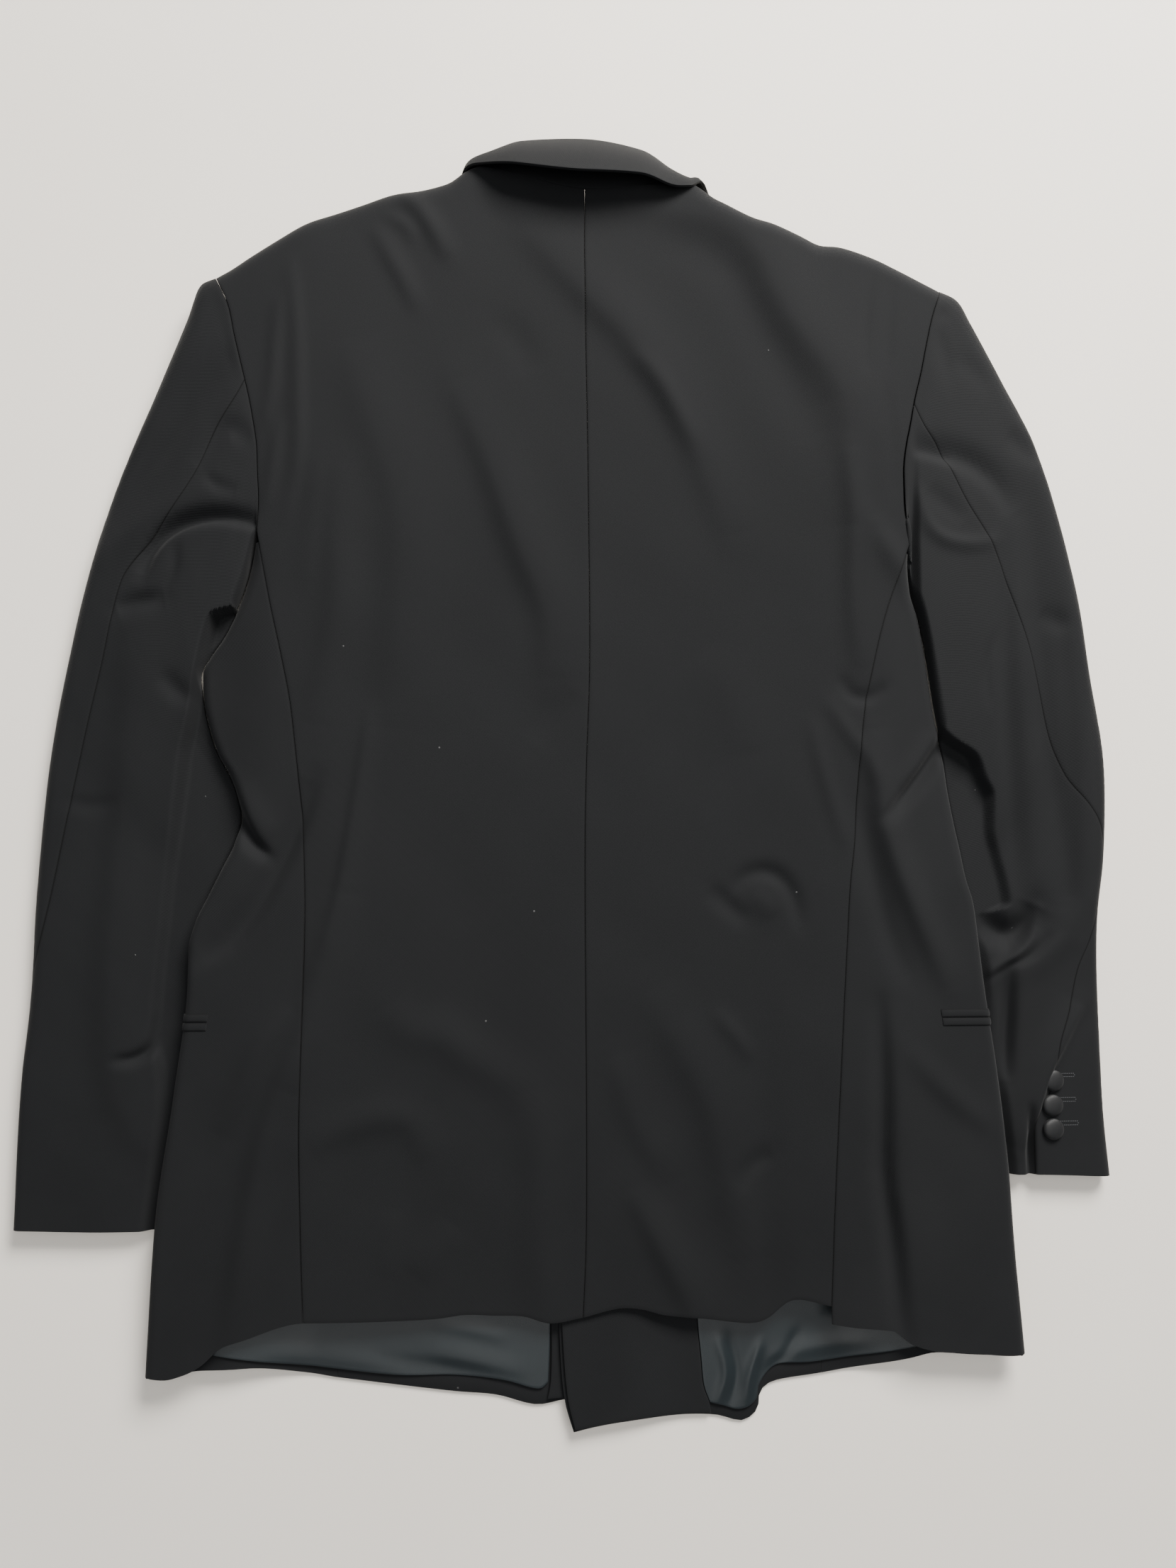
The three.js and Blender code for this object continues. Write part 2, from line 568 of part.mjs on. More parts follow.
function buildLinings() {
  const { left, right } = SIDES;
  for (const [key, side] of Object.entries(SIDES)) {
    const edge = side.liningEdge;
    const first = edge[0];
    const last = edge[edge.length - 1];
    const start = line([[side.facingEdge[0][0] + side.sign * HALF_SEAM, INSIDE_TOP],
      ...side.facingEdge.slice(1, -1).map(([x, y]) => [x + side.sign * HALF_SEAM, y]),
      [first[0] + side.sign * HALF_SEAM, first[1]]]);
    const end = line([[side.sign * 226, INSIDE_TOP], last]);
    buildInside(side, `lining_${key}`, satin(), LINING, [12, 4], start, end, line(edge));
  }
  const shift = (places, dx) => places.map(([x, y]) => [x + dx, y]);
  buildInside(left, "facing_left", wool(), LINING, [3, 5],
    line([[12, INSIDE_TOP], [12, -436]]),
    line(shift([[-22, INSIDE_TOP], [-22, -427], [-24, -438]], HALF_SEAM)),
    line([[12, -436], [-8, -437], [-24 + HALF_SEAM, -438]]));
  buildInside(right, "facing_right", wool(), LINING, [6, 6],
    line([[-15, INSIDE_TOP], [-14, -392], [-10, -437], [-5, -457]]),
    line(shift([[78, INSIDE_TOP], ...right.facingEdge.slice(1), [88, -450]], -HALF_SEAM)),
    line([[-5, -457], [8, -455], [30, -452], [70, -450], [88 - HALF_SEAM, -450]]));
}

// Lapels: turned back along the roll line, so they lie flat under the chest
const LAPEL_THICKNESS = 1.2;
const LAPEL_GRID = [4, 9];
function buildLapel(side, name) {
  const fold = line(side.lapelFold);
  const edge = line(side.lapelEdge);
  const [columns, rows] = LAPEL_GRID;
  addWall(name, satin(), LAPEL_GRID, (c, r, inside) => {
    const from = fold(r / rows);
    const to = edge(r / rows);
    const share = c / columns;
    return [mix(from[0], to[0], share), mix(from[1], to[1], share), inside ? LAPEL_THICKNESS : 0];
  });
}

// Collar: the stand rises from the neck seam to the crest, and the leaf falls from there.
// share along the neck, then seam, crest and leaf edge as x, y, z
const COLLAR = table([
  [0.00, -78, 417, 9, -80, 424, 9, -92, 418, 6],
  [0.08, -76, 421, 17, -78, 431, 12, -84, 423, 22],
  [0.17, -66, 423, 22, -66, 438, 16, -70, 420, 32],
  [0.30, -48, 421, 25, -44, 446, 19, -48, 415, 41],
  [0.50, 0, 412.5, 26, 0, 449, 20, 0, 410, 44],
  [0.68, 40, 414, 25, 40, 443, 19, 38, 411, 41],
  [0.82, 60, 416, 22, 62, 431, 16, 62, 408, 33],
  [0.91, 70, 415, 18, 74, 425, 13, 76, 411, 28],
  [0.96, 73, 413, 13, 77, 424, 11, 86, 419, 20],
  [1.00, 74, 410, 9, 79, 419, 8, 94, 418, 8],
]);
const COLLAR_THICKNESS = 1.8;
const COLLAR_BULGE = 3;
const LEAF_OFF_CREST = 2.4;
const STAND_REACH = { from: 0.06, length: 0.86 };
const STAND_GRID = [18, 4];
const LEAF_GRID = [18, 6];
const CREST_STEP = 0.01;
function buildCollar() {
  const at = (share, part) => new THREE.Vector3(...COLLAR(share).slice(3 * part, 3 * part + 3));
  addWall("collar_stand", wool(), STAND_GRID, (c, r, inside) => {
    const share = c / STAND_GRID[0];
    const rise = STAND_REACH.from + STAND_REACH.length * (r / STAND_GRID[1]);
    const p = at(share, 0).lerp(at(share, 1), rise);
    p.z += inside ? -COLLAR_THICKNESS / 2 : COLLAR_THICKNESS / 2;
    return p.toArray();
  });
  addWall("collar_leaf", wool(), LEAF_GRID, (c, r, inside) => {
    const share = c / LEAF_GRID[0];
    const crest = at(share, 1);
    const tip = at(share, 2);
    const fall = r / LEAF_GRID[1];
    const p = crest.clone().lerp(tip, fall);
    const along = at(Math.min(1, share + CREST_STEP), 1).sub(at(Math.max(0, share - CREST_STEP), 1));
    const out = tip.clone().sub(crest).cross(along).normalize();
    p.addScaledVector(out, COLLAR_BULGE * Math.sin(Math.PI * fall) + LEAF_OFF_CREST);
    return p.addScaledVector(out, inside ? -COLLAR_THICKNESS : 0).toArray();
  });
}

// Sleeves: flattened tubes. Rows run from the armhole to the cuff.
// share of length, underside at the outer and inner edge, top at the outer and inner edge
const SLEEVE_LEVELS = table([
  [0.00, 1.6, 1.6, 26, 19], [0.10, 0.6, 3.0, 22, 22], [0.22, 0, 4.0, 18, 21], [0.36, 0, 2.5, 15.5, 18],
  [0.48, 0, 0, 14, 12], [0.56, 0, 0, 13.5, 7.5], [0.75, 0, 0, 12.5, 7.2], [1.00, 0, 0, 11.5, 7.2],
]);
const SLEEVE_CROWN = 1.5;
const STEP_WIDTH = 12;
const LOWER_TOP = 5.2;
const LEAST_DEPTH = 2 * WOOL + SEAM;
const ARMHOLE_BLEND = 0.14;
// The left cuff's buttons lie under its outer side.
const LEFT_CUFF_LIFT = { from: 0.79, to: 0.85, height: 5.2, reach: [34, 62] };

function sleeveShape(side) {
  const armhole = line(side.armhole);
  const outer = line(side.sleeveOuter);
  const inner = line(side.sleeveInner);
  const cuff = line(side.cuff);
  const seamEnds = [armhole(0), armhole(1)];
  const cuffEnds = [cuff(0), cuff(1)];
  return (s, v) => [0, 1].map((axis) => {
    const across = mix(outer(v)[axis], inner(v)[axis], s);
    const inRange = clamp01(s);
    const armholeBow = armhole(inRange)[axis] - mix(seamEnds[0][axis], seamEnds[1][axis], inRange);
    const cuffBow = cuff(inRange)[axis] - mix(cuffEnds[0][axis], cuffEnds[1][axis], inRange);
    return across + (1 - v) ** 3 * armholeBow + v ** 3 * cuffBow;
  });
}

// Top and underside of a sleeve at a place in plan
function sleeveLevels(side, key, shape, s, v) {
  const [x, y] = shape(s, v);
  const [lowOuter, lowInner, highOuter, highInner] = SLEEVE_LEVELS(v);
  const joined = 1 - smooth(0, ARMHOLE_BLEND, v);
  const [ax, ay] = shape(s, 0);
  const step = smooth(0, STEP_WIDTH, Math.abs(x) - side.sleeveStep(y)[0] + STEP_WIDTH / 2);
  const folds = foldHeight(SLEEVE_FOLDS[key], x, y) * step * (1 - joined);
  let high = mix(highOuter, highInner, s) + SLEEVE_CROWN * 4 * s * (1 - s) * (1 - joined);
  let low = mix(lowOuter, lowInner, s);
  high = mix(Math.max(LOWER_TOP, low + LEAST_DEPTH), high, step) + folds;
  high = mix(high, bodyTop(ax, ay), joined);
  if (key === "left") {
    const { from, to, height, reach } = LEFT_CUFF_LIFT;
    const fromEdge = Math.abs(x - shape(0, v)[0]);
    low = Math.max(low, height * smooth(from, to, v) * (1 - smooth(...reach, fromEdge)));
  }
  low = mix(low, bodyLow(ax, ay), joined);
  return { x, y, high, low };
}

// How far from the outer edge, along the face, the elbow seam lies, or round it underneath
const BEYOND_EDGE = -0.25;
function seamPlace(side, shape, v, width, radius) {
  let low = BEYOND_EDGE;
  let high = 1;
  for (let i = 0; i < SEARCH_ROUNDS; i++) {
    const s = (low + high) / 2;
    const [x, y] = shape(s, v);
    if (Math.abs(x) > Math.abs(side.elbowSeam(y)[0])) low = s;
    else high = s;
  }
  const distance = low * width;
  return distance >= 0 ? alongRoll(distance, radius) : distance;
}

// The forearm seam lies underneath, this share of the way in from the outer edge.
const FOREARM_SHARE = 0.62;
const ROLL_RATIO = 1.25;
const ROW_CROWDING = [0, 0.012, 0.03];
function buildSleeve(side, key) {
  const shape = sleeveShape(side);
  const rows = shares(TOP_SLEEVE_GRID[1], ROW_CROWDING);
  const at = (part, c, columns, v, inside) => {
    const [ox, oy] = shape(0, v);
    const [ix, iy] = shape(1, v);
    const width = Math.hypot(ix - ox, iy - oy);
    const halfAt = (s) => {
      const level = sleeveLevels(side, key, shape, s, v);
      return (level.high - level.low) / 2;
    };
    const outerRadius = ROLL_RATIO * halfAt(0);
    const innerRadius = ROLL_RATIO * halfAt(1);
    const elbow = seamPlace(side, shape, v, width, outerRadius);
    const full = alongRoll(width - innerRadius, outerRadius) + (Math.PI / 2) * innerRadius;
    const forearm = alongRoll(FOREARM_SHARE * width, outerRadius);
    const ends = part === "top"
      ? [-forearm + HALF_SEAM, elbow - HALF_SEAM]
      : [elbow + HALF_SEAM, 2 * full - forearm - HALF_SEAM];
    const along = crowded(ends[0], ends[1], c / columns, [
      { at: 0, size: outerRadius }, { at: full, size: innerRadius },
    ]);
    const turned = along > full ? 2 * full - along : Math.abs(along);
    const upper = along >= 0 && along <= full;
    const nearOuter = turned < full / 2;
    const edge = nearOuter
      ? acrossRoll(turned, outerRadius)
      : acrossRoll(full - turned, innerRadius);
    const s = (nearOuter ? edge.distance : width - edge.distance) / width;
    const level = sleeveLevels(side, key, shape, s, v);
    const middle = (level.high + level.low) / 2;
    const depth = inside ? WOOL : 0;
    const z = upper
      ? mix(middle, level.high, edge.up) - depth * edge.up
      : mix(middle, level.low, edge.up) + depth * edge.up;
    const inward = (nearOuter ? 1 : -1) * depth * edge.out;
    const gap = v === 0 ? side.sign * ARMHOLE_GAP : 0;
    return [level.x + (inward * (ix - ox)) / width + gap, level.y + (inward * (iy - oy)) / width, z];
  };
  addWall(`top_sleeve_${key}`, wool(), TOP_SLEEVE_GRID,
    (c, r, inside) => at("top", c, TOP_SLEEVE_GRID[0], rows[r], inside));
  addWall(`under_sleeve_${key}`, wool(), UNDER_SLEEVE_GRID,
    (c, r, inside) => at("under", c, UNDER_SLEEVE_GRID[0], rows[r], inside));
}

// Buttons: cloth-covered domes, three on each cuff and one at the front, which is fastened
const BUTTON = { radius: 7.4, height: 4, rim: 1, foot: 0.9, gap: 0.4 };
const BUTTON_SIDES = 12;
const BUTTON_STEPS = 3;
const RIGHT_BUTTONS = [[330.5, -228], [329.5, -245], [329.5, -261.5]];
const LEFT_BUTTONS = [[-357, -254], [-357, -271], [-357, -287]];

function addButton(name, x, y, base, facing) {
  const profile = [new THREE.Vector2(0, 0), new THREE.Vector2(BUTTON.radius * BUTTON.foot, 0)];
  for (let i = 0; i <= BUTTON_STEPS; i++) {
    const turn = (Math.PI / 2) * (i / BUTTON_STEPS);
    const dome = BUTTON.rim + (BUTTON.height - BUTTON.rim) * Math.sin(turn);
    profile.push(new THREE.Vector2(BUTTON.radius * Math.cos(turn), dome));
  }
  profile[profile.length - 1].x = 0;
  const geometry = new THREE.LatheGeometry(profile, BUTTON_SIDES);
  const mesh = new THREE.Mesh(geometry, wool());
  mesh.name = name;
  mesh.rotation.x = facing * (Math.PI / 2);
  mesh.position.set(x, y, base);
  coat.add(mesh);
}

// The highest place of a piece under a button's disc
function seatUnder(name, x, y) {
  const piece = coat.getObjectByName(name);
  const ray = new THREE.Raycaster();
  let seat = 0;
  for (let i = 0; i <= BUTTON_SIDES; i++) {
    const reach = i === BUTTON_SIDES ? 0 : BUTTON.radius;
    const turn = (2 * Math.PI * i) / BUTTON_SIDES;
    const above = new THREE.Vector3(x + reach * Math.cos(turn), y + reach * Math.sin(turn), 100);
    ray.set(above, new THREE.Vector3(0, 0, -1));
    const [hit] = ray.intersectObject(piece);
    if (hit) seat = Math.max(seat, hit.point.z);
  }
  return seat;
}

function buildButtons() {
  RIGHT_BUTTONS.forEach(([x, y], i) => {
    const base = seatUnder("top_sleeve_right", x, y) + BUTTON.gap;
    addButton(`cuff_button_${i + 1}_right`, x, y, base, 1);
  });
  LEFT_BUTTONS.forEach(([x, y], i) => {
    addButton(`cuff_button_${i + 1}_left`, x, y, LEFT_CUFF_LIFT.height - BUTTON.gap, -1);
  });
  addButton("front_button", FRONT_BUTTON.x, FRONT_BUTTON.y, BUTTON.height + BUTTON.gap, -1);
}

for (const [key, side] of Object.entries(SIDES)) {
  side.seamAt = table([...side.sideSeam].reverse().map(([x, y]) => [y, x]));
  buildBack(side, `back_${key}`);
  buildSide(side, `side_${key}`);
  buildJets(side, key);
  buildFront(side, `front_${key}`);
  buildLapel(side, `lapel_${key}`);
  buildSleeve(side, key);
}
buildLinings();
buildCollar();
coat.updateMatrixWorld(true);
buildButtons();

// Moves the middle of the underside to the origin.
const box = new THREE.Box3().setFromObject(coat, true);
coat.position.set(-(box.min.x + box.max.x) / 2, -(box.min.y + box.max.y) / 2, -box.min.z);

export default coat;
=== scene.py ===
import math

import bmesh
import bpy
import numpy as np
from mathutils import Matrix, Vector
from mathutils.bvhtree import BVHTree


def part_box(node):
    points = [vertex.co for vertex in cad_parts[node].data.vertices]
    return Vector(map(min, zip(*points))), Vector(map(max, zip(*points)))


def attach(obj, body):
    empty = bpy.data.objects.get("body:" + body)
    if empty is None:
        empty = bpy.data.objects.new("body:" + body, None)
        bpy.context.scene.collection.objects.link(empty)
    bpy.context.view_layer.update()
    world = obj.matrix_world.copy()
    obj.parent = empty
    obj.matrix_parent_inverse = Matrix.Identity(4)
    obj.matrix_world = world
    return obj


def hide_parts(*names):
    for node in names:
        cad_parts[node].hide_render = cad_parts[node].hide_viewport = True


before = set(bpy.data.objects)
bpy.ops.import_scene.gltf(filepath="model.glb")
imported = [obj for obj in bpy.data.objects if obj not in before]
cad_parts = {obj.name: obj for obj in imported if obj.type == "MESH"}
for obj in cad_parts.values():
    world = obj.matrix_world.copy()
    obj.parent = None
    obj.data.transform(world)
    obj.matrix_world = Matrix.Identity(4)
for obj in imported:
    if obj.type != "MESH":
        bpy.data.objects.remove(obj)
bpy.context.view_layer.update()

# Outlines and heights are in millimetres, with X to the wearer's right and Y up to the collar.
# The shift brings them to the frame of the solids, whose origin is the middle of the underside.
MM = 0.001
SHIFT = (-0.535, 4.37)

# Cloth thicknesses and the air between pieces
WOOL = 1.6
WOOL_SHOWN = 1.4
LINING = 1.0
LINING_SHOWN = 0.5
SEAM = 0.6
HALF_SEAM = 0.06
SEAM_GAP_REACH = 1.0
LOOSE_LAYER = 0.9
ARMHOLE_GAP = 0.1
HEM_ROUNDING = 0.45

# Pressed seams: how deep the cloth dips at its sewn edge, and how far in that reaches
SEAM_DIP = 0.28
SEAM_DIP_REACH = 0.9
# Painted shade in the seams, standing in for the shadow in their grooves: how far in from a sewn edge it
# reaches, and its near-black colour
PAINTED_SEAM_SHADE_REACH = 0.8
PAINTED_SEAM_SHADE_COLOUR = (0.0030, 0.0031, 0.0033, 1)
EDGE_STEPS = (0.4, 0.9, 1.7, 3.2)

# How finely lines and folds are followed, and how a fold fades towards its ends
LINE_STEPS = 10
FOLD_STEPS = 14
FOLD_END_SHARE = 0.2
FOLD_END_CURVE = 0.7


# Plain helpers for arrays of places

def mix(a, b, t):
    return a + (b - a) * t


def smooth(start, end, value):
    share = np.clip((value - start) / (end - start), 0, 1)
    return share * share * (3 - 2 * share)


def line(places):
    """A smooth curve through places in plan, read by the share of its length."""
    points = np.array(places, float)
    before = 2 * points[0] - points[1]
    after = 2 * points[-1] - points[-2]
    full = np.vstack([before, points, after])
    samples = []
    for i in range(len(points) - 1):
        a, b, c, d = full[i:i + 4]
        ab = np.linalg.norm(b - a) ** 0.5
        bc = np.linalg.norm(c - b) ** 0.5
        cd = np.linalg.norm(d - c) ** 0.5
        leaving = ((b - a) / ab - (c - a) / (ab + bc) + (c - b) / bc) * bc
        arriving = ((c - b) / bc - (d - b) / (bc + cd) + (d - c) / cd) * bc
        for step in range(LINE_STEPS):
            t = step / LINE_STEPS
            samples.append(b * (2 * t ** 3 - 3 * t ** 2 + 1) + leaving * (t ** 3 - 2 * t ** 2 + t)
                           + c * (3 * t ** 2 - 2 * t ** 3) + arriving * (t ** 3 - t ** 2))
    samples.append(points[-1])
    samples = np.array(samples)
    lengths = np.linalg.norm(np.diff(samples, axis=0), axis=1)
    shares = np.concatenate([[0], np.cumsum(lengths)]) / lengths.sum()

    def read(share):
        return [np.interp(share, shares, samples[:, axis]) for axis in range(samples.shape[1])]
    return read


def table(rows):
    """Reads a table's columns at any value of its first column, smoothly and without overshoot."""
    rows = np.array(rows, float)
    keys = rows[:, 0]
    values = rows[:, 1:]
    rises = np.diff(values, axis=0) / np.diff(keys)[:, None]
    slopes = np.empty_like(values)
    slopes[0] = rises[0]
    slopes[-1] = rises[-1]
    product = rises[:-1] * rises[1:]
    total = np.where(product > 0, rises[:-1] + rises[1:], 1)
    slopes[1:-1] = np.where(product > 0, 2 * product / total, 0)

    def read(key):
        key = np.clip(np.asarray(key, float), keys[0], keys[-1])
        i = np.clip(np.searchsorted(keys, key, side="right") - 1, 0, len(keys) - 2)
        span = keys[i + 1] - keys[i]
        t = (key - keys[i]) / span
        columns = []
        for c in range(values.shape[1]):
            columns.append((2 * t ** 3 - 3 * t ** 2 + 1) * values[i, c]
                           + (t ** 3 - 2 * t ** 2 + t) * span * slopes[i, c]
                           + (3 * t ** 2 - 2 * t ** 3) * values[i + 1, c]
                           + (t ** 3 - t ** 2) * span * slopes[i + 1, c])
        return columns if len(columns) > 1 else columns[0]
    return read


def patch(top, bottom, inner, outer):
    """A four-sided patch in plan: u runs from the inner side to the outer one, v from the top down."""
    corners = [top(0.0), top(1.0), bottom(0.0), bottom(1.0)]

    def place(u, v):
        found = []
        for axis in (0, 1):
            top_in, top_out, low_in, low_out = [corner[axis] for corner in corners]
            across = mix(inner(v)[axis], outer(v)[axis], u)
            top_bow = top(u)[axis] - mix(top_in, top_out, u)
            low_bow = bottom(u)[axis] - mix(low_in, low_out, u)
            found.append(across + (1 - v) ** 2 * top_bow + v ** 2 * low_bow)
        return found
    return place


def fold_height(folds, x, y):
    """Folds: height over the cloth, width on the left and on the right of the way along, places in plan."""
    height = np.zeros_like(x)
    for rise, left, right, *places in folds:
        px, py = line(places)(np.linspace(0, 1, FOLD_STEPS + 1))
        nearest = np.full(x.shape, np.inf)
        share = np.zeros_like(x)
        lean = np.zeros_like(x)
        for i in range(FOLD_STEPS):
            dx = px[i + 1] - px[i]
            dy = py[i + 1] - py[i]
            length = math.hypot(dx, dy)
            t = np.clip(((x - px[i]) * dx + (y - py[i]) * dy) / length ** 2, 0, 1)
            off_x = x - px[i] - t * dx
            off_y = y - py[i] - t * dy
            distance = np.hypot(off_x, off_y)
            turned = (dx * off_y - dy * off_x) / (length * np.maximum(distance, 1e-6))
            closer = distance < nearest
            nearest = np.where(closer, distance, nearest)
            share = np.where(closer, (i + t) / FOLD_STEPS, share)
            lean = np.where(closer, turned, lean)
        width = mix(right, left, 0.5 + 0.5 * lean)
        taper = FOLD_END_SHARE + (1 - FOLD_END_SHARE) * np.sin(np.pi * share) ** FOLD_END_CURVE
        height += rise * taper * np.exp(-(nearest / width) ** 2)
    return height


def ripples(x, y):
    """The slight unevenness of cloth that was smoothed out by hand"""
    return (0.32 * np.sin(x / 17 + 1.3 + 0.6 * np.sin(y / 61)) * np.sin(y / 47 + 0.4)
            + 0.26 * np.sin(x / 31 - y / 39 + 2.1)
            + 0.16 * np.sin(x / 11 + y / 29 + 0.7) * np.sin(y / 23 - x / 53))


def seam_dip(*distances):
    """How far the cloth sinks next to its sewn edges"""
    dip = 0
    for distance in distances:
        dip = dip + SEAM_DIP * np.exp(-(distance / SEAM_DIP_REACH) ** 2)
    return dip


def painted_seam_shade(*distances):
    """Painted shade along a seam: 1 at a sewn edge, where cloth turns into its seam, and 0 a little way in
    """
    nearest = np.minimum.reduce([np.abs(distance) for distance in distances])
    return np.clip(1 - nearest / PAINTED_SEAM_SHADE_REACH, 0, 1)


def steps(count, size):
    """Shares from 0 to 1, closer together next to both ends, where cloth is pressed into its seam"""
    ends = np.array(EDGE_STEPS) / size
    middle = np.linspace(ends[-1], 1 - ends[-1], count - 2 * len(ends) + 1)
    return np.concatenate([[0], ends[:-1], middle, 1 - ends[-2::-1], [1]])


# Outlines in plan, from the collar down. Left is the wearer's left, at negative X.
CENTRE_SEAM = [(0, 411), (0, 356), (3, 190), (4, 59), (2, -4), (1, -59), (2, -328), (0, -383)]

LEFT = {
    "sign": -1,
    "neck_and_shoulder": [(0, 411), (-21, 414), (-50, 420), (-84, 423), (-100, 415), (-119, 409),
                          (-139, 405), (-159, 397), (-179, 389), (-199, 381), (-219, 368), (-239, 354),
                          (-251, 345), (-262, 338)],
    "armhole": [(-262, 338), (-251, 315), (-246, 293), (-240, 269), (-235, 249), (-232, 234),
                (-229, 215), (-228, 195), (-227, 175), (-228, 154)],
    "side_seam": [(-228, 154), (-224, 133), (-218, 103), (-210, 68), (-203, 34), (-199, 4), (-196, -21),
                  (-193, -50), (-191, -80), (-190, -110), (-190, -199), (-191, -248), (-189, -318),
                  (-186, -380)],
    "back_hem": [(0, -383), (-22, -386), (-40, -381), (-60, -380), (-80, -379), (-100, -381),
                 (-186, -380)],
    # Y and the fold edge of the body
    "edges": table([
        (-416, -288), (-382, -287), (-320, -285), (-230, -275), (-156, -268), (-134, -268),
        (-117, -264), (-99, -256), (-81, -248), (-63, -240), (-45, -236), (-30, -239), (-17, -244),
        (-1, -253), (19, -260), (38, -264), (55, -265), (68, -259), (80, -251), (99, -242),
        (120, -235), (139, -231), (150, -229.5)]),
    "front_seam_flare": 57,
    "pocket_reach": 19,
    # Distance from the middle, hem of the upper layer, hem of the layer underneath
    "side_hem": table([
        (165, -380, -421), (186, -380, -417), (225, -390, -411), (238, -394, -411), (252, -406, -411),
        (262, -411, -412), (275, -414, -416), (290, -412, -414)]),
    "roll_line": [(-78, 415), (-70, 380), (-52, 300), (-28, 150), (-6, 10), (12, -50), (14, -200),
                  (14, -437)],
    "front_hem": [(14, -437), (-11, -439), (-31, -442), (-58, -435), (-86, -432), (-123, -427),
                  (-165, -421)],
    "lapel_fold": [(-72, 372), (-54, 300), (-30, 150), (-8, 5)],
    "lapel_edge": [(-98, 356), (-126, 322), (-106, 250), (-84, 150), (-30, 5)],
    "lining_edge": [(-23, -427), (-28, -431), (-53, -425), (-86, -421), (-123, -420), (-170, -414),
                    (-209, -408), (-245, -401)],
    "sleeve_outer": [(-262, 338), (-272, 333), (-281, 307), (-301, 256), (-328, 185), (-345, 122),
                     (-357, 60), (-366, -3), (-372, -98), (-373, -159), (-377, -234), (-378, -319)],
    "sleeve_inner": [(-228, 154), (-232, 139), (-236, 120), (-243, 99), (-252.2, 80), (-260.2, 68),
                     (-266, 54), (-265, 38), (-261, 19), (-254.2, -1), (-245.2, -17),
                     (-240, -30), (-237, -45), (-241, -63), (-249, -81), (-257, -99),
                     (-262, -120), (-262, -150), (-252, -195), (-245, -240), (-240, -321)],
    "cuff": [(-378, -319), (-320, -321), (-240, -321)],
    "elbow_seam": table([
        (-330, -385), (-200, -380), (-130, -367), (-100, -361), (-41, -351), (14, -341), (58, -332),
        (117, -320), (151, -297), (193, -271), (226, -257), (250, -243), (262, -237)]),
    # Where the sleeve drops to its lower part, which reaches to the body and passes under it, by Y
    "sleeve_step": table([
        (-321, 292), (-280, 288), (-240, 284), (-215, 286), (-192, 290), (-160, 289), (-120, 286),
        (-80, 283), (-40, 279), (-20, 277), (0, 275), (20, 271), (40, 268), (60, 265), (80, 261),
        (95, 256), (103, 232), (139, 218)]),
}

RIGHT = {
    "sign": 1,
    "neck_and_shoulder": [(0, 411), (19, 411), (50, 414), (81, 416), (99, 409), (124, 397), (139, 393),
                          (158, 385), (173, 378), (188, 377), (213, 369), (228, 362), (248, 352),
                          (262, 345)],
    "armhole": [(262, 345), (254, 323), (248, 298), (244, 279), (239, 259), (235, 239), (232, 225),
                (230, 210), (230, 195), (231, 175), (235, 155)],
    "side_seam": [(235, 155), (227, 133), (218, 108), (212, 88), (206, 63), (200, 34), (196, 4),
                  (193, -31), (191, -60), (187, -90), (184, -130), (182, -159), (178, -219),
                  (173, -298), (169, -377)],
    "back_hem": [(0, -383), (25, -379), (40, -381), (55, -386), (80, -390), (115, -396), (125, -394),
                 (143, -383), (169, -389)],
    "edges": table([
        (-416, 304), (-374, 301), (-329, 298), (-286, 296), (-213, 289), (-159, 282), (-131, 279),
        (-103, 276), (-87, 272), (-67, 269), (-45, 265), (-20, 261), (-1, 259), (15, 256), (29, 253),
        (58, 249), (80, 246), (101, 242), (120, 236), (139, 234.5), (150, 235)]),
    "front_seam_flare": 61,
    "pocket_reach": 38,
    "side_hem": table([
        (165, -388, -426), (184, -391, -423), (211, -394, -418), (224, -403, -415), (242, -408, -411),
        (269, -410, -413), (294, -412, -414), (306, -411, -414)]),
    "roll_line": [(76, 409), (68, 376), (50, 300), (26, 150), (4, 10), (-14, -50), (-17, -200),
                  (-16, -390), (-12, -439), (-6, -459)],
    "front_hem": [(-6, -459), (8, -456), (30, -453), (70, -451), (92, -452), (110, -456), (120, -449),
                  (122, -438), (128, -432), (165, -426)],
    "lapel_fold": [(70, 372), (52, 300), (30, 150), (9, 5)],
    "lapel_edge": [(96, 356), (124, 322), (104, 250), (82, 150), (30, 5)],
    "lining_edge": [(87, -443), (95, -445), (106, -448), (114, -446), (119, -441), (121, -432),
                    (132, -420), (159, -418), (203, -412), (231, -406)],
    "sleeve_outer": [(262, 345), (275, 339), (285, 322), (309, 279), (332, 235), (348, 182),
                     (362, 121), (370, 60), (378, -1), (375.5, -70), (370, -110), (368, -145),
                     (368, -198), (369, -253), (372, -295)],
    "sleeve_inner": [(236, 155), (235.6, 139), (237, 120), (242.8, 101), (246.8, 80), (249.8, 58),
                     (253.8, 29), (256.8, 15), (259.8, -1), (261.8, -20), (265.8, -45), (269.8, -67),
                     (272.8, -87), (276.2, -104), (273, -130), (267, -152), (256, -180), (247, -220),
                     (242, -294)],
    "cuff": [(372, -295), (318, -293), (242, -294)],
    "elbow_seam": table([
        (-300, 317), (-261, 317), (-235, 329), (-204, 335), (-179, 344), (-150, 352), (-130, 361),
        (-112, 367), (-90, 371.5), (-68, 374), (-50, 372), (-12, 347), (13, 337), (57, 328),
        (77, 323), (101, 315), (155, 295), (185, 277), (226, 256), (240, 246), (256, 238)]),
    "sleeve_step": table([
        (-300, 302), (-240, 296), (-200, 292), (-150, 286), (-114, 283), (-104, 303), (-90, 301),
        (-70, 296), (-50, 292), (-28, 292), (-15, 286), (0, 280), (14, 260), (29, 247), (58, 238)]),
}
SIDES = {"left": LEFT, "right": RIGHT}

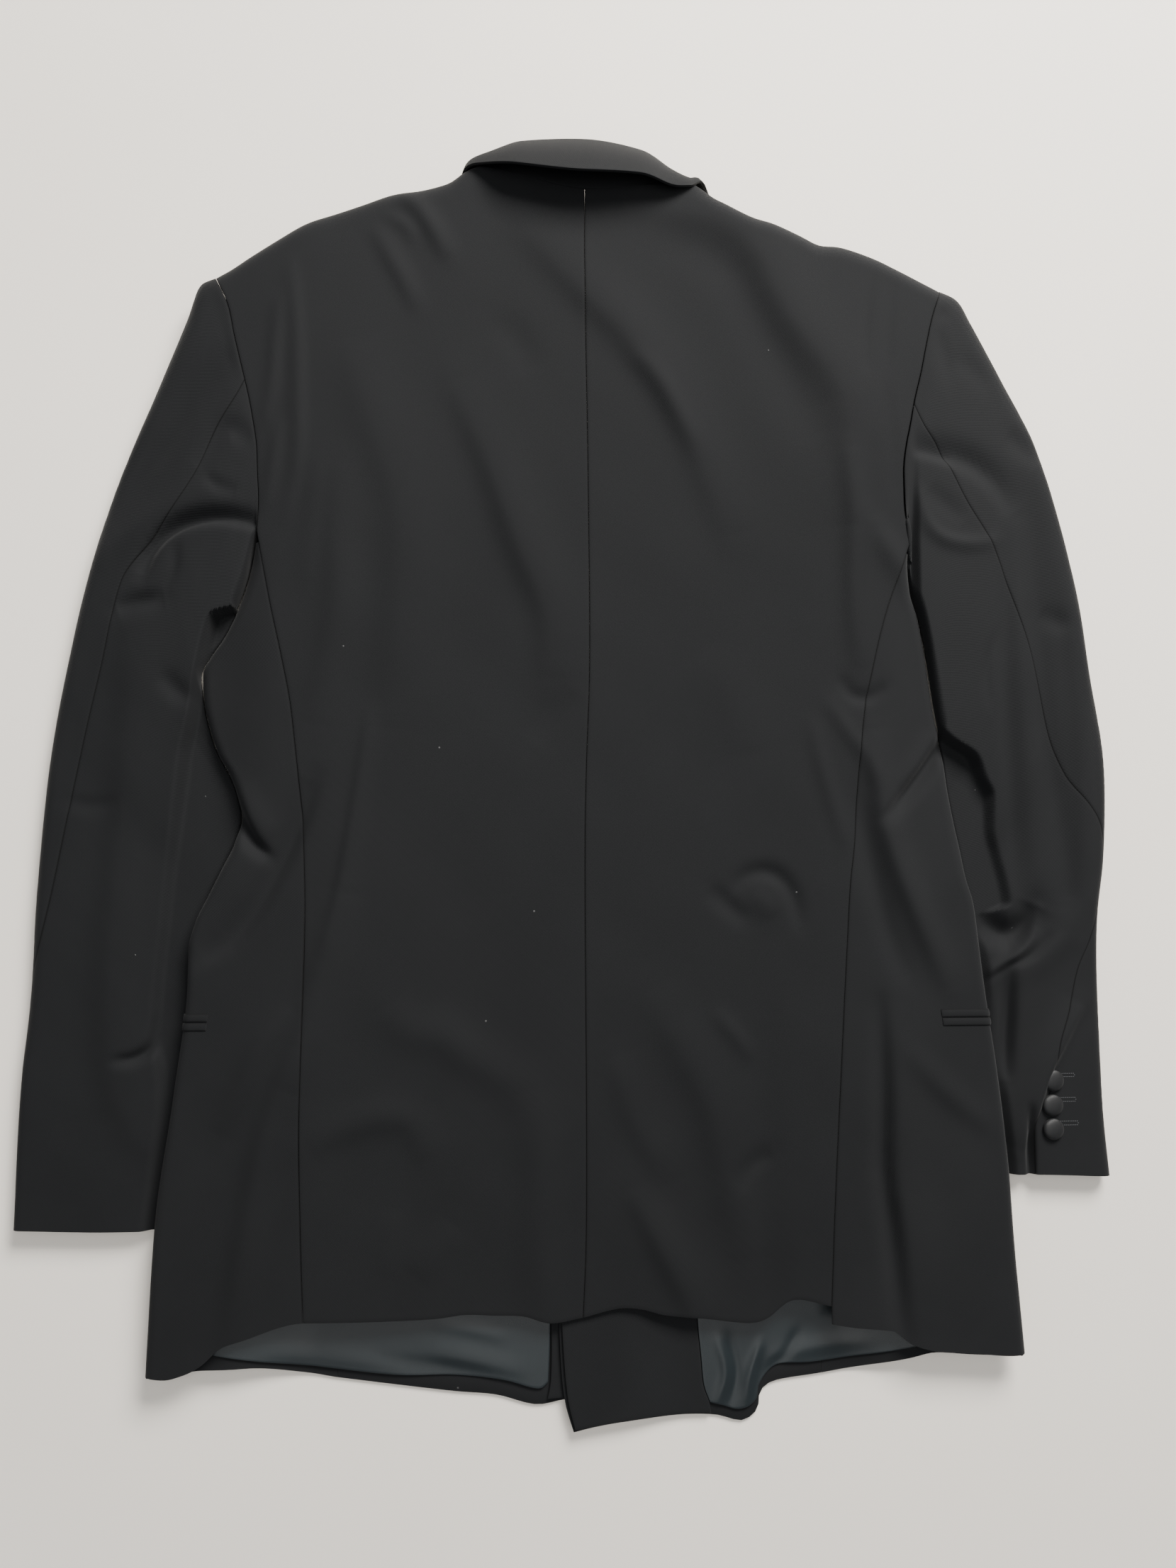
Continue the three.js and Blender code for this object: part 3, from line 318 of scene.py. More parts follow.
# Height of the back's face by Y: along the centre seam, at the side seam or armhole, at the fold edge
BACK_HEIGHT = table([
    (-420, 10.5, 17.5, 17.5), (-385, 11, 18, 18), (-200, 13, 19.5, 18.5), (-100, 13.5, 19.5, 18),
    (-40, 14, 18.5, 15), (40, 14.5, 18.5, 13.5), (100, 15.5, 20, 15), (150, 17, 22, 19),
    (250, 19.5, 25.5, 25), (350, 22.5, 26.5, 26), (430, 25, 25, 25)])
SIDE_ZONE = (60, 205)
EDGE_ZONE = (212, 262)

# Height of the body's underside at its side edges by Y, where the lower sleeves pass under it
EDGE_LIFT = table([(-420, 9.4), (-115, 9.2), (-62, 1.5), (-20, 0.4), (60, 0.4), (155, 1.6)])
LIFT_ZONE = (176, 240)
LAPEL_LIFT = 1.7
LAPEL_LIFT_RANGE = (-75, -35)
FRONT_BUTTON = (0, -62)
FRONT_BUTTON_LIFT = 5.6
FRONT_BUTTON_SPREAD = 50
OVERLAP_LIFT = WOOL + LOOSE_LAYER + LINING + LOOSE_LAYER
OVERLAP_ZONE = (24, 74)
SIDE_TOP = 146
FRONT_SEAM = 165
FLARE_RANGE = (-250, 150)
SHOULDER_EDGE_HEIGHT = 12
SHOULDER_ROLL = 14
BODY_LENGTH = 780
NECK_TO_SHOULDER = (74, 98)
UNDERARM_SHARE = 0.26
BODY_ROWS = (0, 0.0015, 0.003, 0.005, 0.0075, 0.0105, 0.014, 0.018)

# The body's folds: height, width on the left and right of the way along, places in plan.
# Troughs have a negative height. A crest that is steep on one side has a small width there.
BODY_FOLDS = [
    # From the collar and the shoulders down the back
    (4.4, 32, 16, (26, 406), (70, 397), (106, 389), (128, 366), (143, 330), (165, 298), (188, 262),
     (194, 215), (193, 165)),
    (-1.6, 14, 18, (60, 380), (104, 352), (128, 312), (148, 270), (166, 226)),
    (3.4, 10, 8, (189, 222), (194, 172), (193, 130), (194, 95), (197, 62)),
    (3.4, 22, 12, (-40, 378), (-16, 351), (10, 325), (32, 303), (51, 277), (67, 250), (80, 224), (91, 196),
     (104, 158)),
    (1.8, 8, 7, (34, 290), (52, 272), (67, 246), (80, 220)),
    (3.6, 22, 11, (-92, 264), (-78, 233), (-66, 205), (-54, 172), (-42, 140), (-30, 114), (-24, 92),
     (-24, 54)),
    (2.4, 26, 15, (-166, 292), (-152, 246), (-140, 211), (-129, 176), (-128, 130), (-130, 70), (-134, 18)),
    (2.2, 14, 11, (-171, 204), (-173, 152), (-171, 110), (-178, 60), (-187, 20)),
    (1.1, 7, 9, (-186, 212), (-190, 162), (-194, 118)),
    (1.9, 4, 7, (-207, 347), (-202, 300), (-200, 250), (-200, 205), (-208, 163)),
    (1.6, 4, 5, (-215, 320), (-217, 285), (-219, 255), (-224, 230)),
    (1.3, 4, 5, (-213, 230), (-217, 200), (-222, 170)),
    (2.6, 8, 6, (-133, 404), (-120, 391), (-110, 377), (-97, 354)),
    (2.0, 8, 6, (-150, 374), (-138, 353), (-128, 335), (-119, 316)),
    (1.3, 5, 5, (-141, 384), (-128, 377), (-121, 365)),
    (-1.2, 12, 12, (-62, 314), (-46, 294), (-38, 272)),
    (-1.0, 2.6, 3.2, (212, 360), (206, 332), (203, 300), (203, 278)),
    (-0.9, 2.6, 3.6, (225, 348), (221, 310), (218, 274)),
    (-0.8, 5, 4, (217, 272), (221, 230), (222, 188)),
    (2.4, 9, 9, (205, 172), (218, 150), (230, 132), (241, 110)),
    # Side of the waist on the right
    (-2.0, 5, 5, (182, 56), (192, 43), (203, 42), (216, 50)),
    (1.7, 6, 6, (162, 24), (168, -5), (176, -35), (184, -64)),
    (1.7, 6, 6, (173, 40), (187, 18), (199, 0), (206, -18)),
    (4.8, 12, 8, (204, 18), (209, -20), (213, -50), (223, -84), (237, -120), (255, -162)),
    (-2.8, 8, 9, (193, -26), (199, -62), (206, -95), (214, -125), (227, -158)),
    (-6.5, 7, 3.4, (264, 20), (246, -5), (230, -25), (213, -43)),
    (1.6, 3, 8, (252, 16), (238, -6), (223, -23)),
    # Side of the waist on the left
    (2.2, 8, 4, (-149, 26), (-155, -20), (-162, -66), (-169, -106), (-176, -134)),
    (3.6, 14, 10, (-166, -96), (-175, -136), (-182, -168), (-189, -198), (-200, -228)),
    (3.6, 12, 9, (-194, -200), (-207, -240), (-217, -280), (-225, -330), (-233, -394)),
    (2.5, 9, 9, (-197, -174), (-215, -197), (-229, -228), (-244, -256)),
    (-5.0, 6, 12, (-185, -20), (-196, -52), (-210, -84), (-224, -110), (-240, -130), (-258, -141)),
    (-7.0, 3.4, 6, (-246, -26), (-235, -46), (-226, -61), (-215, -72)),
    (1.6, 9, 6, (-236, -24), (-224, -46), (-214, -60)),
    # Below the waist
    (-2.8, 6, 5, (105, -96), (113, -86), (126, -82), (138, -87), (146, -99), (151, -120)),
    (1.5, 8, 8, (116, -98), (125, -103), (132, -114)),
    (-2.1, 6, 7, (89, -93), (102, -106), (114, -117)),
    (2.6, 20, 13, (46, -164), (68, -203), (88, -242), (98, -284), (110, -346)),
    (1.8, 14, 10, (22, -208), (37, -254), (60, -294)),
    (3.0, 14, 9, (34, -298), (50, -330), (64, -356), (78, -388)),
    (1.3, 6, 6, (91, -178), (104, -194), (117, -210)),
    (-1.9, 8, 5, (107, -299), (116, -284), (130, -275)),
    (-1.5, 14, 10, (128, -186), (124, -240), (122, -300), (126, -350), (131, -388)),
    (-4.6, 6, 7, (206, -172), (207, -240), (206, -284), (211, -330), (217, -398)),
    (2.8, 20, 6, (214, -172), (216, -240), (216, -290), (223, -340), (228, -398)),
    (2.0, 10, 8, (224, -204), (244, -226), (264, -244), (284, -260)),
    (2.6, 16, 14, (-134, -174), (-118, -190), (-98, -194), (-78, -208), (-56, -222), (-38, -238)),
    (2.0, 12, 10, (-184, -266), (-160, -254), (-138, -248), (-118, -251), (-106, -276)),
    (2.4, 14, 14, (-36, -232), (-30, -280), (-30, -330), (-25, -386)),
    (1.3, 12, 12, (-114, -352), (-100, -336), (-88, -320)),
    (0.9, 8, 8, (-127, -310), (-131, -332), (-134, -352)),
    (-1.0, 12, 12, (-6, 46), (-22, 28), (-36, 8)),
    (1.2, 22, 18, (82, 72), (108, 40), (117, 2)),
]

# Sleeve folds, with the same columns
LEFT_SLEEVE_FOLDS = [
    (-3.4, 10, 11, (-248, 281), (-272, 250), (-290, 222), (-310, 196), (-334, 158)),
    (-2.0, 7, 8, (-234, 216), (-248, 226), (-262, 212), (-271, 198)),
    (-1.2, 5, 5, (-264, 191), (-252, 184), (-242, 182)),
    (-7.5, 4, 7, (-222, 157), (-243, 162), (-262, 162), (-279, 157), (-291, 149), (-300, 137), (-305, 122)),
    (2.2, 12, 10, (-260, 188), (-290, 168), (-318, 146), (-340, 128)),
    (-3.4, 6, 7, (-322, 98), (-307, 103), (-290, 106)),
    (-1.6, 4, 5, (-282, 144), (-284, 124), (-294, 106)),
    (3.0, 22, 12, (-311, 92), (-310, 30), (-313, -30), (-317, -90), (-319, -150), (-317, -200), (-309, -238),
     (-295, -262), (-280, -278)),
    (-2.2, 7, 7, (-290, 54), (-280, 42), (-268, 34)),
    (-4.6, 3.4, 4.2, (-315, -209), (-302, -207), (-292, -200), (-287, -180)),
    (-1.0, 5, 6, (-354, -34), (-336, -37), (-318, -34)),
]
RIGHT_SLEEVE_FOLDS = [
    (-4.8, 11, 5, (230, 224), (258, 219), (280, 212), (298, 198), (311, 178)),
    (-2.2, 6, 8, (310, 238), (322, 228), (334, 216)),
    (-2.6, 8, 6, (311, 172), (304, 110), (303, 60), (305, 0), (308, -60), (312, -102)),
    (1.5, 8, 8, (317, 124), (320, 60), (321, 0), (324, -60), (328, -98)),
    (-3.0, 9, 9, (320, 200), (324, 150), (328, 100), (330, 60), (333, 20), (338, -20), (343, -60),
     (346, -102)),
    (3.0, 10, 9, (336, 208), (344, 160), (350, 125), (357, 92), (360, 50), (361, 0), (361, -50), (358, -96),
     (352, -118), (338, -137), (318, -149), (300, -158)),
    (-1.6, 7, 7, (332, 106), (343, 99), (353, 96)),
    (-1.0, 4, 4, (297, 90), (290, 66), (290, 36)),
    (2.0, 5, 6, (242, 192), (248, 168), (258, 158), (276, 154), (300, 157)),
    (-1.4, 8, 8, (248, 194), (262, 181), (274, 170)),
    (-1.1, 5, 6, (256, 314), (262, 292), (266, 270)),
    (-1.0, 7, 7, (268, 292), (284, 282), (298, 270)),
    (-2.0, 3, 3, (252, 327), (259, 325), (266, 321)),
    (-9.0, 10, 10, (280, -110), (292, -121), (304, -126), (316, -119), (323, -106)),
    (3.4, 4, 4, (325, -108), (319, -128), (307, -141), (295, -149), (280, -160)),
    (-2.2, 3, 4, (334, -126), (319, -141), (301, -149), (284, -160)),
    (-7.0, 4.5, 9, (303, -150), (302, -178), (300, -200), (298, -228)),
    # A raised edge beside the cuff buttons, and the groove of the vent
    (5.0, 3, 14, (354, -176), (337, -205), (327, -223), (320, -242), (313, -262), (308, -276)),
    (-6.5, 2.6, 3, (314, -246), (314, -275), (314, -304)),
]
LEFT["folds"] = LEFT_SLEEVE_FOLDS
RIGHT["folds"] = RIGHT_SLEEVE_FOLDS


# Heights of the body's upper and lower face

def back_level(x, y):
    centre, side, edge = BACK_HEIGHT(y)
    out = np.abs(x)
    return mix(mix(centre, side, smooth(*SIDE_ZONE, out)), edge, smooth(*EDGE_ZONE, out))


def body_top(x, y):
    return back_level(x, y) + fold_height(BODY_FOLDS, x, y) + ripples(x, y)


def body_low(x, y):
    edge = EDGE_LIFT(y) * smooth(*LIFT_ZONE, np.abs(x))
    lapel = LAPEL_LIFT * smooth(*LAPEL_LIFT_RANGE, y)
    away = np.hypot(x - FRONT_BUTTON[0], y - FRONT_BUTTON[1]) / FRONT_BUTTON_SPREAD
    button = FRONT_BUTTON_LIFT * np.exp(-away ** 4)
    return np.maximum(np.maximum(edge, lapel), button)


def front_low(side, x, y):
    over = OVERLAP_LIFT * (1 - smooth(*OVERLAP_ZONE, x)) if side["sign"] > 0 else 0
    return body_low(x, y) + over


def front_seam(side, y):
    share = np.clip((y - FLARE_RANGE[0]) / (FLARE_RANGE[1] - FLARE_RANGE[0]), 0, 1)
    return FRONT_SEAM + side["front_seam_flare"] * share ** 2


def roll(distance, radius):
    """How far up and out cloth faces at a plan distance from its rolled edge"""
    out = 1 - np.clip(distance / radius, 0, 1)
    return np.sqrt(1 - out * out), out


def along_roll(distance, radius):
    """Distance along a rolled edge's face to a plan distance from the edge"""
    share = np.clip(1 - np.maximum(distance, 0) / radius, -1, 1)
    on_roll = radius * np.arccos(share)
    return np.where(distance < radius, on_roll, math.pi / 2 * radius + distance - radius)


def across_roll(along, radius):
    """The reverse: plan distance from the edge, and how far up and out the cloth faces there"""
    quarter = math.pi / 2 * radius
    way = np.abs(along)
    turn = np.minimum(way, quarter) / radius
    distance = np.where(way >= quarter, radius + way - quarter, radius * (1 - np.cos(turn)))
    return distance, np.sin(turn), np.cos(turn)


def two_lines(upper, lower):
    def read(v):
        above = upper(np.clip(v / UNDERARM_SHARE, 0, 1))
        below = lower(np.clip((v - UNDERARM_SHARE) / (1 - UNDERARM_SHARE), 0, 1))
        return [np.where(v < UNDERARM_SHARE, a, b) for a, b in zip(above, below)]
    return read


# Node groups for effects that several materials share

def group_with(name, inputs, outputs):
    group = bpy.data.node_groups.new(name, "ShaderNodeTree")
    for label, kind, value in inputs:
        socket = group.interface.new_socket(label, in_out="INPUT", socket_type=kind)
        if value is not None:
            socket.default_value = value
    for label, kind in outputs:
        group.interface.new_socket(label, in_out="OUTPUT", socket_type=kind)
    nodes = group.nodes
    return group, nodes.new("NodeGroupInput"), nodes.new("NodeGroupOutput")


def math_node(tree, operation, first, second):
    node = tree.nodes.new("ShaderNodeMath")
    node.operation = operation
    for socket, value in zip(node.inputs, (first, second)):
        if isinstance(value, (int, float)):
            socket.default_value = value
        else:
            tree.links.new(value, socket)
    return node.outputs[0]


def make_weave():
    """Threads that cross on a slant, a little uneven: height for the bump and tone for the colour"""
    group, inputs, outputs = group_with(
        "slanted_weave",
        [("Vector", "NodeSocketVector", None), ("Ribs", "NodeSocketFloat", 500.0),
         ("Unevenness", "NodeSocketFloat", 0.6)],
        [("Height", "NodeSocketFloat"), ("Tone", "NodeSocketFloat")])
    ribs = group.nodes.new("ShaderNodeTexWave")
    ribs.wave_type = "BANDS"
    ribs.bands_direction = "DIAGONAL"
    ribs.inputs["Distortion"].default_value = 0.8
    ribs.inputs["Detail"].default_value = 1.0
    threads = group.nodes.new("ShaderNodeTexNoise")
    threads.inputs["Detail"].default_value = 2.0
    group.links.new(inputs.outputs["Vector"], ribs.inputs["Vector"])
    group.links.new(inputs.outputs["Ribs"], ribs.inputs["Scale"])
    group.links.new(inputs.outputs["Vector"], threads.inputs["Vector"])
    group.links.new(math_node(group, "MULTIPLY", inputs.outputs["Ribs"], 1.7), threads.inputs["Scale"])
    uneven = math_node(group, "MULTIPLY", threads.outputs["Fac"], inputs.outputs["Unevenness"])
    height = math_node(group, "ADD", ribs.outputs["Fac"], uneven)
    group.links.new(height, outputs.inputs["Height"])
    group.links.new(math_node(group, "MULTIPLY", height, 0.6), outputs.inputs["Tone"])
    return group


# Specks of lint: their radius in texture cells, and the random level above which a cell has one
LINT_SIZE = 0.035
LINT_CHOSEN = 0.93


def make_wear():
    """Broad, faint changes of tone from pressing and brushing, and a few specks of lint"""
    group, inputs, outputs = group_with(
        "pressing_and_lint",
        [("Vector", "NodeSocketVector", None), ("Patches", "NodeSocketFloat", 14.0),
         ("Lint", "NodeSocketFloat", 60.0)],
        [("Tone", "NodeSocketFloat"), ("Specks", "NodeSocketFloat")])
    tone = group.nodes.new("ShaderNodeTexNoise")
    tone.inputs["Detail"].default_value = 3.0
    tone.inputs["Roughness"].default_value = 0.55
    lint = group.nodes.new("ShaderNodeTexVoronoi")
    lint.feature = "F1"
    chosen = group.nodes.new("ShaderNodeSeparateColor")
    for texture in (tone, lint):
        group.links.new(inputs.outputs["Vector"], texture.inputs["Vector"])
    group.links.new(inputs.outputs["Patches"], tone.inputs["Scale"])
    group.links.new(inputs.outputs["Lint"], lint.inputs["Scale"])
    group.links.new(lint.outputs["Color"], chosen.inputs["Color"])
    near = math_node(group, "LESS_THAN", lint.outputs["Distance"], LINT_SIZE)
    rare = math_node(group, "GREATER_THAN", chosen.outputs["Red"], LINT_CHOSEN)
    group.links.new(tone.outputs["Fac"], outputs.inputs["Tone"])
    group.links.new(math_node(group, "MULTIPLY", near, rare), outputs.inputs["Specks"])
    return group


WEAVE = make_weave()
WEAR = make_wear()

# How much of a cloth's tone comes from its weave and its wear, and the tones its two colours are for
TONE_SHARES = (0.35, 0.65)
TONE_RANGE = (0.3, 0.75)
SHEEN_ROUGHNESS = 0.45


def ramp_between(tree, factor, low, high, start, end):
    """A colour that goes from low to high while the factor goes from start to end"""
    ramp = tree.nodes.new("ShaderNodeValToRGB")
    ramp.color_ramp.elements[0].position = start
    ramp.color_ramp.elements[0].color = (*low, 1)
    ramp.color_ramp.elements[1].position = end
    ramp.color_ramp.elements[1].color = (*high, 1)
    tree.links.new(factor, ramp.inputs["Fac"])
    return ramp.outputs["Color"]


def colour_over(tree, under, over, share):
    """A fixed colour laid over another one, as much as the share says"""
    mixer = tree.nodes.new("ShaderNodeMix")
    mixer.data_type = "RGBA"
    mixer.inputs["B"].default_value = over
    tree.links.new(share, mixer.inputs["Factor"])
    tree.links.new(under, mixer.inputs["A"])
    return mixer.outputs["Result"]


def cloth_material(name, dark, light, rough, ribs, bump, sheen, specular, lint):
    """A woven cloth: its colour, roughness and bump follow the weave on the piece's own cloth map, and its
    colour carries painted shade along seams.
    """
    material = bpy.data.materials.new(name)
    material.use_nodes = True
    tree = material.node_tree
    shader = tree.nodes["Principled BSDF"]
    place = tree.nodes.new("ShaderNodeUVMap")
    place.uv_map = "cloth"
    weave = tree.nodes.new("ShaderNodeGroup")
    weave.node_tree = WEAVE
    weave.inputs["Ribs"].default_value = ribs
    wear = tree.nodes.new("ShaderNodeGroup")
    wear.node_tree = WEAR
    tree.links.new(place.outputs["UV"], weave.inputs["Vector"])
    tree.links.new(place.outputs["UV"], wear.inputs["Vector"])
    tone = math_node(tree, "ADD", math_node(tree, "MULTIPLY", weave.outputs["Tone"], TONE_SHARES[0]),
                     math_node(tree, "MULTIPLY", wear.outputs["Tone"], TONE_SHARES[1]))
    colour = ramp_between(tree, tone, dark, light, *TONE_RANGE)
    colour = colour_over(tree, colour, (*lint, 1), wear.outputs["Specks"])
    # Painted shade along seams: a near-black colour laid over the cloth where the seam mask is 1, standing
    # in for the shadow in the seam's groove; the roughness rises to 1 there too
    seam = tree.nodes.new("ShaderNodeAttribute")
    seam.attribute_name = "painted_seam_shade"
    colour = colour_over(tree, colour, PAINTED_SEAM_SHADE_COLOUR, seam.outputs["Fac"])
    tree.links.new(colour, shader.inputs["Base Color"])
    spread = math_node(tree, "MULTIPLY", wear.outputs["Tone"], rough[1] - rough[0])
    even = math_node(tree, "ADD", spread, rough[0])
    tree.links.new(math_node(tree, "MAXIMUM", even, seam.outputs["Fac"]), shader.inputs["Roughness"])
    relief = tree.nodes.new("ShaderNodeBump")
    relief.inputs["Strength"].default_value = 1.0
    relief.inputs["Distance"].default_value = bump
    tree.links.new(weave.outputs["Height"], relief.inputs["Height"])
    tree.links.new(relief.outputs["Normal"], shader.inputs["Normal"])
    shader.inputs["Specular IOR Level"].default_value = specular
    shader.inputs["Sheen Weight"].default_value = sheen
    shader.inputs["Sheen Roughness"].default_value = SHEEN_ROUGHNESS
    return material


WOOL_CLOTH = cloth_material("wool_twill", (0.0082, 0.0087, 0.0095), (0.0118, 0.0124, 0.0133),
                            (0.72, 0.86), 620, 0.00008, 0.06, 0.14, (0.10, 0.10, 0.10))
LAPEL_CLOTH = cloth_material("lapel_satin", (0.008, 0.008, 0.009), (0.014, 0.014, 0.016),
                             (0.28, 0.38), 1400, 0.00002, 0.05, 0.5, (0.03, 0.03, 0.03))
LINING_CLOTH = cloth_material("lining_satin", (0.0095, 0.0135, 0.0155), (0.0150, 0.0205, 0.0230),
                              (0.24, 0.36), 1600, 0.00002, 0.04, 0.4, (0.05, 0.06, 0.065))
BUTTON_CLOTH = cloth_material("button_silk", (0.0072, 0.0075, 0.0082), (0.0116, 0.0121, 0.0130),
                              (0.42, 0.55), 900, 0.00005, 0.06, 0.38, (0.04, 0.04, 0.04))
THREAD_CLOTH = cloth_material("buttonhole_thread", (0.050, 0.052, 0.056), (0.085, 0.088, 0.094),
                              (0.45, 0.60), 2500, 0.00003, 0.10, 0.4, (0.06, 0.06, 0.06))


# Pieces of cloth
EDGE_SHARE = 0.4
EDGE_SEGMENTS = 2
EDGE_ANGLE = math.radians(60)


def cloth(name, material, nodes, across, down, place, flipped, thickness):
    """A grid of cloth laid on its form. place gives X, Y, Z, the cloth's own two measures and the painted
    shade next to its seams."""
    form = bmesh.new()
    columns = len(across) - 1
    rows = len(down) - 1
    bmesh.ops.create_grid(form, x_segments=columns, y_segments=rows, size=0.5)
    mesh = bpy.data.meshes.new(name)
    form.to_mesh(mesh)
    form.free()
    flat = np.empty(len(mesh.vertices) * 3)
    mesh.vertices.foreach_get("co", flat)
    flat = flat.reshape(-1, 3) + 0.5
    column = np.rint(flat[:, 0] * columns).astype(int)
    row = rows - np.rint(flat[:, 1] * rows).astype(int)
    u, v = np.meshgrid(across, down)
    x, y, z, measure_u, measure_v, shade = [np.broadcast_to(part, u.shape) for part in place(u, v)]
    laid = np.stack([(x + SHIFT[0]) * MM, (y + SHIFT[1]) * MM, z * MM], axis=-1)[row, column]
    mesh.vertices.foreach_set("co", laid.ravel())
    corners = np.empty(len(mesh.loops), int)
    mesh.loops.foreach_get("vertex_index", corners)
    measures = np.stack([measure_u * MM, measure_v * MM], axis=-1)[row, column][corners]
    cloth_map = mesh.uv_layers.new(name="cloth")
    cloth_map.data.foreach_set("uv", measures.ravel())
    # The painted shade along seams goes on the points, where the material reads it
    shades = mesh.attributes.new("painted_seam_shade", "FLOAT", "POINT")
    shades.data.foreach_set("value", shade[row, column].ravel())
    if flipped:
        mesh.flip_normals()
    mesh.shade_smooth()
    piece = bpy.data.objects.new(name, mesh)
    bpy.context.scene.collection.objects.link(piece)
    wall = piece.modifiers.new("wall", "SOLIDIFY")
    wall.thickness = thickness * MM
    wall.offset = -1
    edge = piece.modifiers.new("rounded_edge", "BEVEL")
    edge.width = min(HEM_ROUNDING, EDGE_SHARE * thickness) * MM
    edge.segments = EDGE_SEGMENTS
    edge.limit_method = "ANGLE"
    edge.angle_limit = EDGE_ANGLE
    finish_piece(piece, material, nodes)
    return piece


def finish_piece(piece, material, nodes):
    piece.data.materials.append(material)
    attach(piece, "root")
    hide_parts(*nodes)


def body_rows(count):
    """Shares down the body, close together over the shoulder's rolled edge"""
    rest = np.linspace(BODY_ROWS[-1], 1, count - len(BODY_ROWS) + 2)[1:]
    return np.concatenate([BODY_ROWS, rest])


def make_back(side, key):
    sign = side["sign"]
    shape = patch(line(side["neck_and_shoulder"]), line(side["back_hem"]), line(CENTRE_SEAM),
                  two_lines(line(side["armhole"]), line(side["side_seam"])))

    def place(u, v):
        x, y = shape(u, v)
        width = np.abs(shape(np.ones_like(u), v)[0] - shape(np.zeros_like(u), v)[0])
        inward = np.maximum(0, 1 - u * width / SEAM_GAP_REACH)
        outward = np.maximum(0, 1 - (1 - u) * width / SEAM_GAP_REACH)
        x = x + sign * HALF_SEAM * (inward - outward)
        shoulder = smooth(*NECK_TO_SHOULDER, np.abs(shape(u, np.zeros_like(v))[0]))
        up, _ = roll(v * BODY_LENGTH, SHOULDER_ROLL)
        face = body_top(x, y) - seam_dip(u * width, (1 - u) * width)
        z = mix(mix(face, SHOULDER_EDGE_HEIGHT + HALF_SEAM, shoulder), face, up)
        # The last value is the painted shade along the centre seam and the outer seam
        return x, y, z, x, y, painted_seam_shade(u * width, (1 - u) * width)
    piece = cloth(f"cloth_back_{key}", WOOL_CLOTH, [f"back_{key}"], steps(84, 215),
                  body_rows(270), place, sign < 0, WOOL_SHOWN)


def side_face(side, y, along):
    """The place on a side's face at a level: along runs from the fold edge, upward on top."""
    edge = side["edges"](y)
    upper_width = np.abs(edge - side["seam_at"](y)) - HALF_SEAM
    half = (back_level(edge, y) - body_low(edge, y)) / 2
    radius = np.minimum(1.1 * half, 0.9 * upper_width + 2)
    start = along_roll(upper_width, radius)
    end = -along_roll(np.abs(edge) - front_seam(side, y) - HALF_SEAM, radius)
    way = along(start, end)
    distance, up, out = across_roll(way, radius)
    x = edge - side["sign"] * distance
    high = body_top(x, y) - seam_dip(start - way)
    low = body_low(x, y)
    upper = way > 0
    z = mix((high + low) / 2, np.where(upper, high, low), up)
    return x, y, z, way, side["sign"] * out, np.where(upper, up, -up)


HEM_LEVEL = -400


def make_side(side, key):
    def place(u, v):
        foot = side_face(side, np.full_like(u, HEM_LEVEL), lambda start, end: mix(start, end, u))
        upper_hem, lower_hem = side["side_hem"](np.abs(foot[0]))
        hem = np.where(foot[3] > 0, upper_hem, lower_hem)
        y = mix(SIDE_TOP, hem, v)
        x, y, z, way, _, _ = side_face(side, y, lambda start, end: mix(start, end, u))
        # The last value is the painted shade along the side seam
        return x, y, z, way, y, painted_seam_shade(way - way[:, :1])
    piece = cloth(f"cloth_side_{key}", WOOL_CLOTH, [f"side_{key}"], steps(100, 220),
                  steps(200, 560), place, side["sign"] < 0, WOOL_SHOWN)


# Pocket jets: two narrow welts that lie on the side and run round its fold edge
JET_WIDTH = 5.3
JET_UNDER = -4
JET_TOP = -177.6
JET_RAISED = 0.35
JET_CROWN = 0.55
JET_END = 2.5
JET_END_CROWN = 0.4
JET_CLOTH = 0.7


def make_jets(side, key):
    for i, level in enumerate(("upper", "lower")):
        start = JET_TOP - i * (JET_WIDTH + SEAM)

        def place(u, v, start=start):
            y = start - JET_WIDTH * v
            way = mix(side["pocket_reach"], JET_UNDER, u)
            x, y, z, _, out, up = side_face(side, y, lambda first, last: way)
            ends = np.clip(u * side["pocket_reach"] / JET_END, 0, 1)
            full = mix(JET_END_CROWN, 1, ends)
            crown = JET_RAISED + JET_CROWN * np.sqrt(4 * v * (1 - v)) * full
            # Painted shade along both long edges of the welt
            shade = painted_seam_shade(v * JET_WIDTH, (1 - v) * JET_WIDTH)
            return x + crown * out, y, z + crown * up, way, y, shade
        piece = cloth(f"pocket_welt_{level}_{key}", WOOL_CLOTH, [f"pocket_jet_{level}_{key}"],
                      np.linspace(0, 1, 25), 0.5 - 0.5 * np.cos(np.linspace(0, math.pi, 11)), place,
                      side["sign"] < 0, JET_CLOTH)


FRONT_SEAM_STEP = 25
FRONT_GAP_STEEPNESS = 30
NECK_CLEARANCE = 4


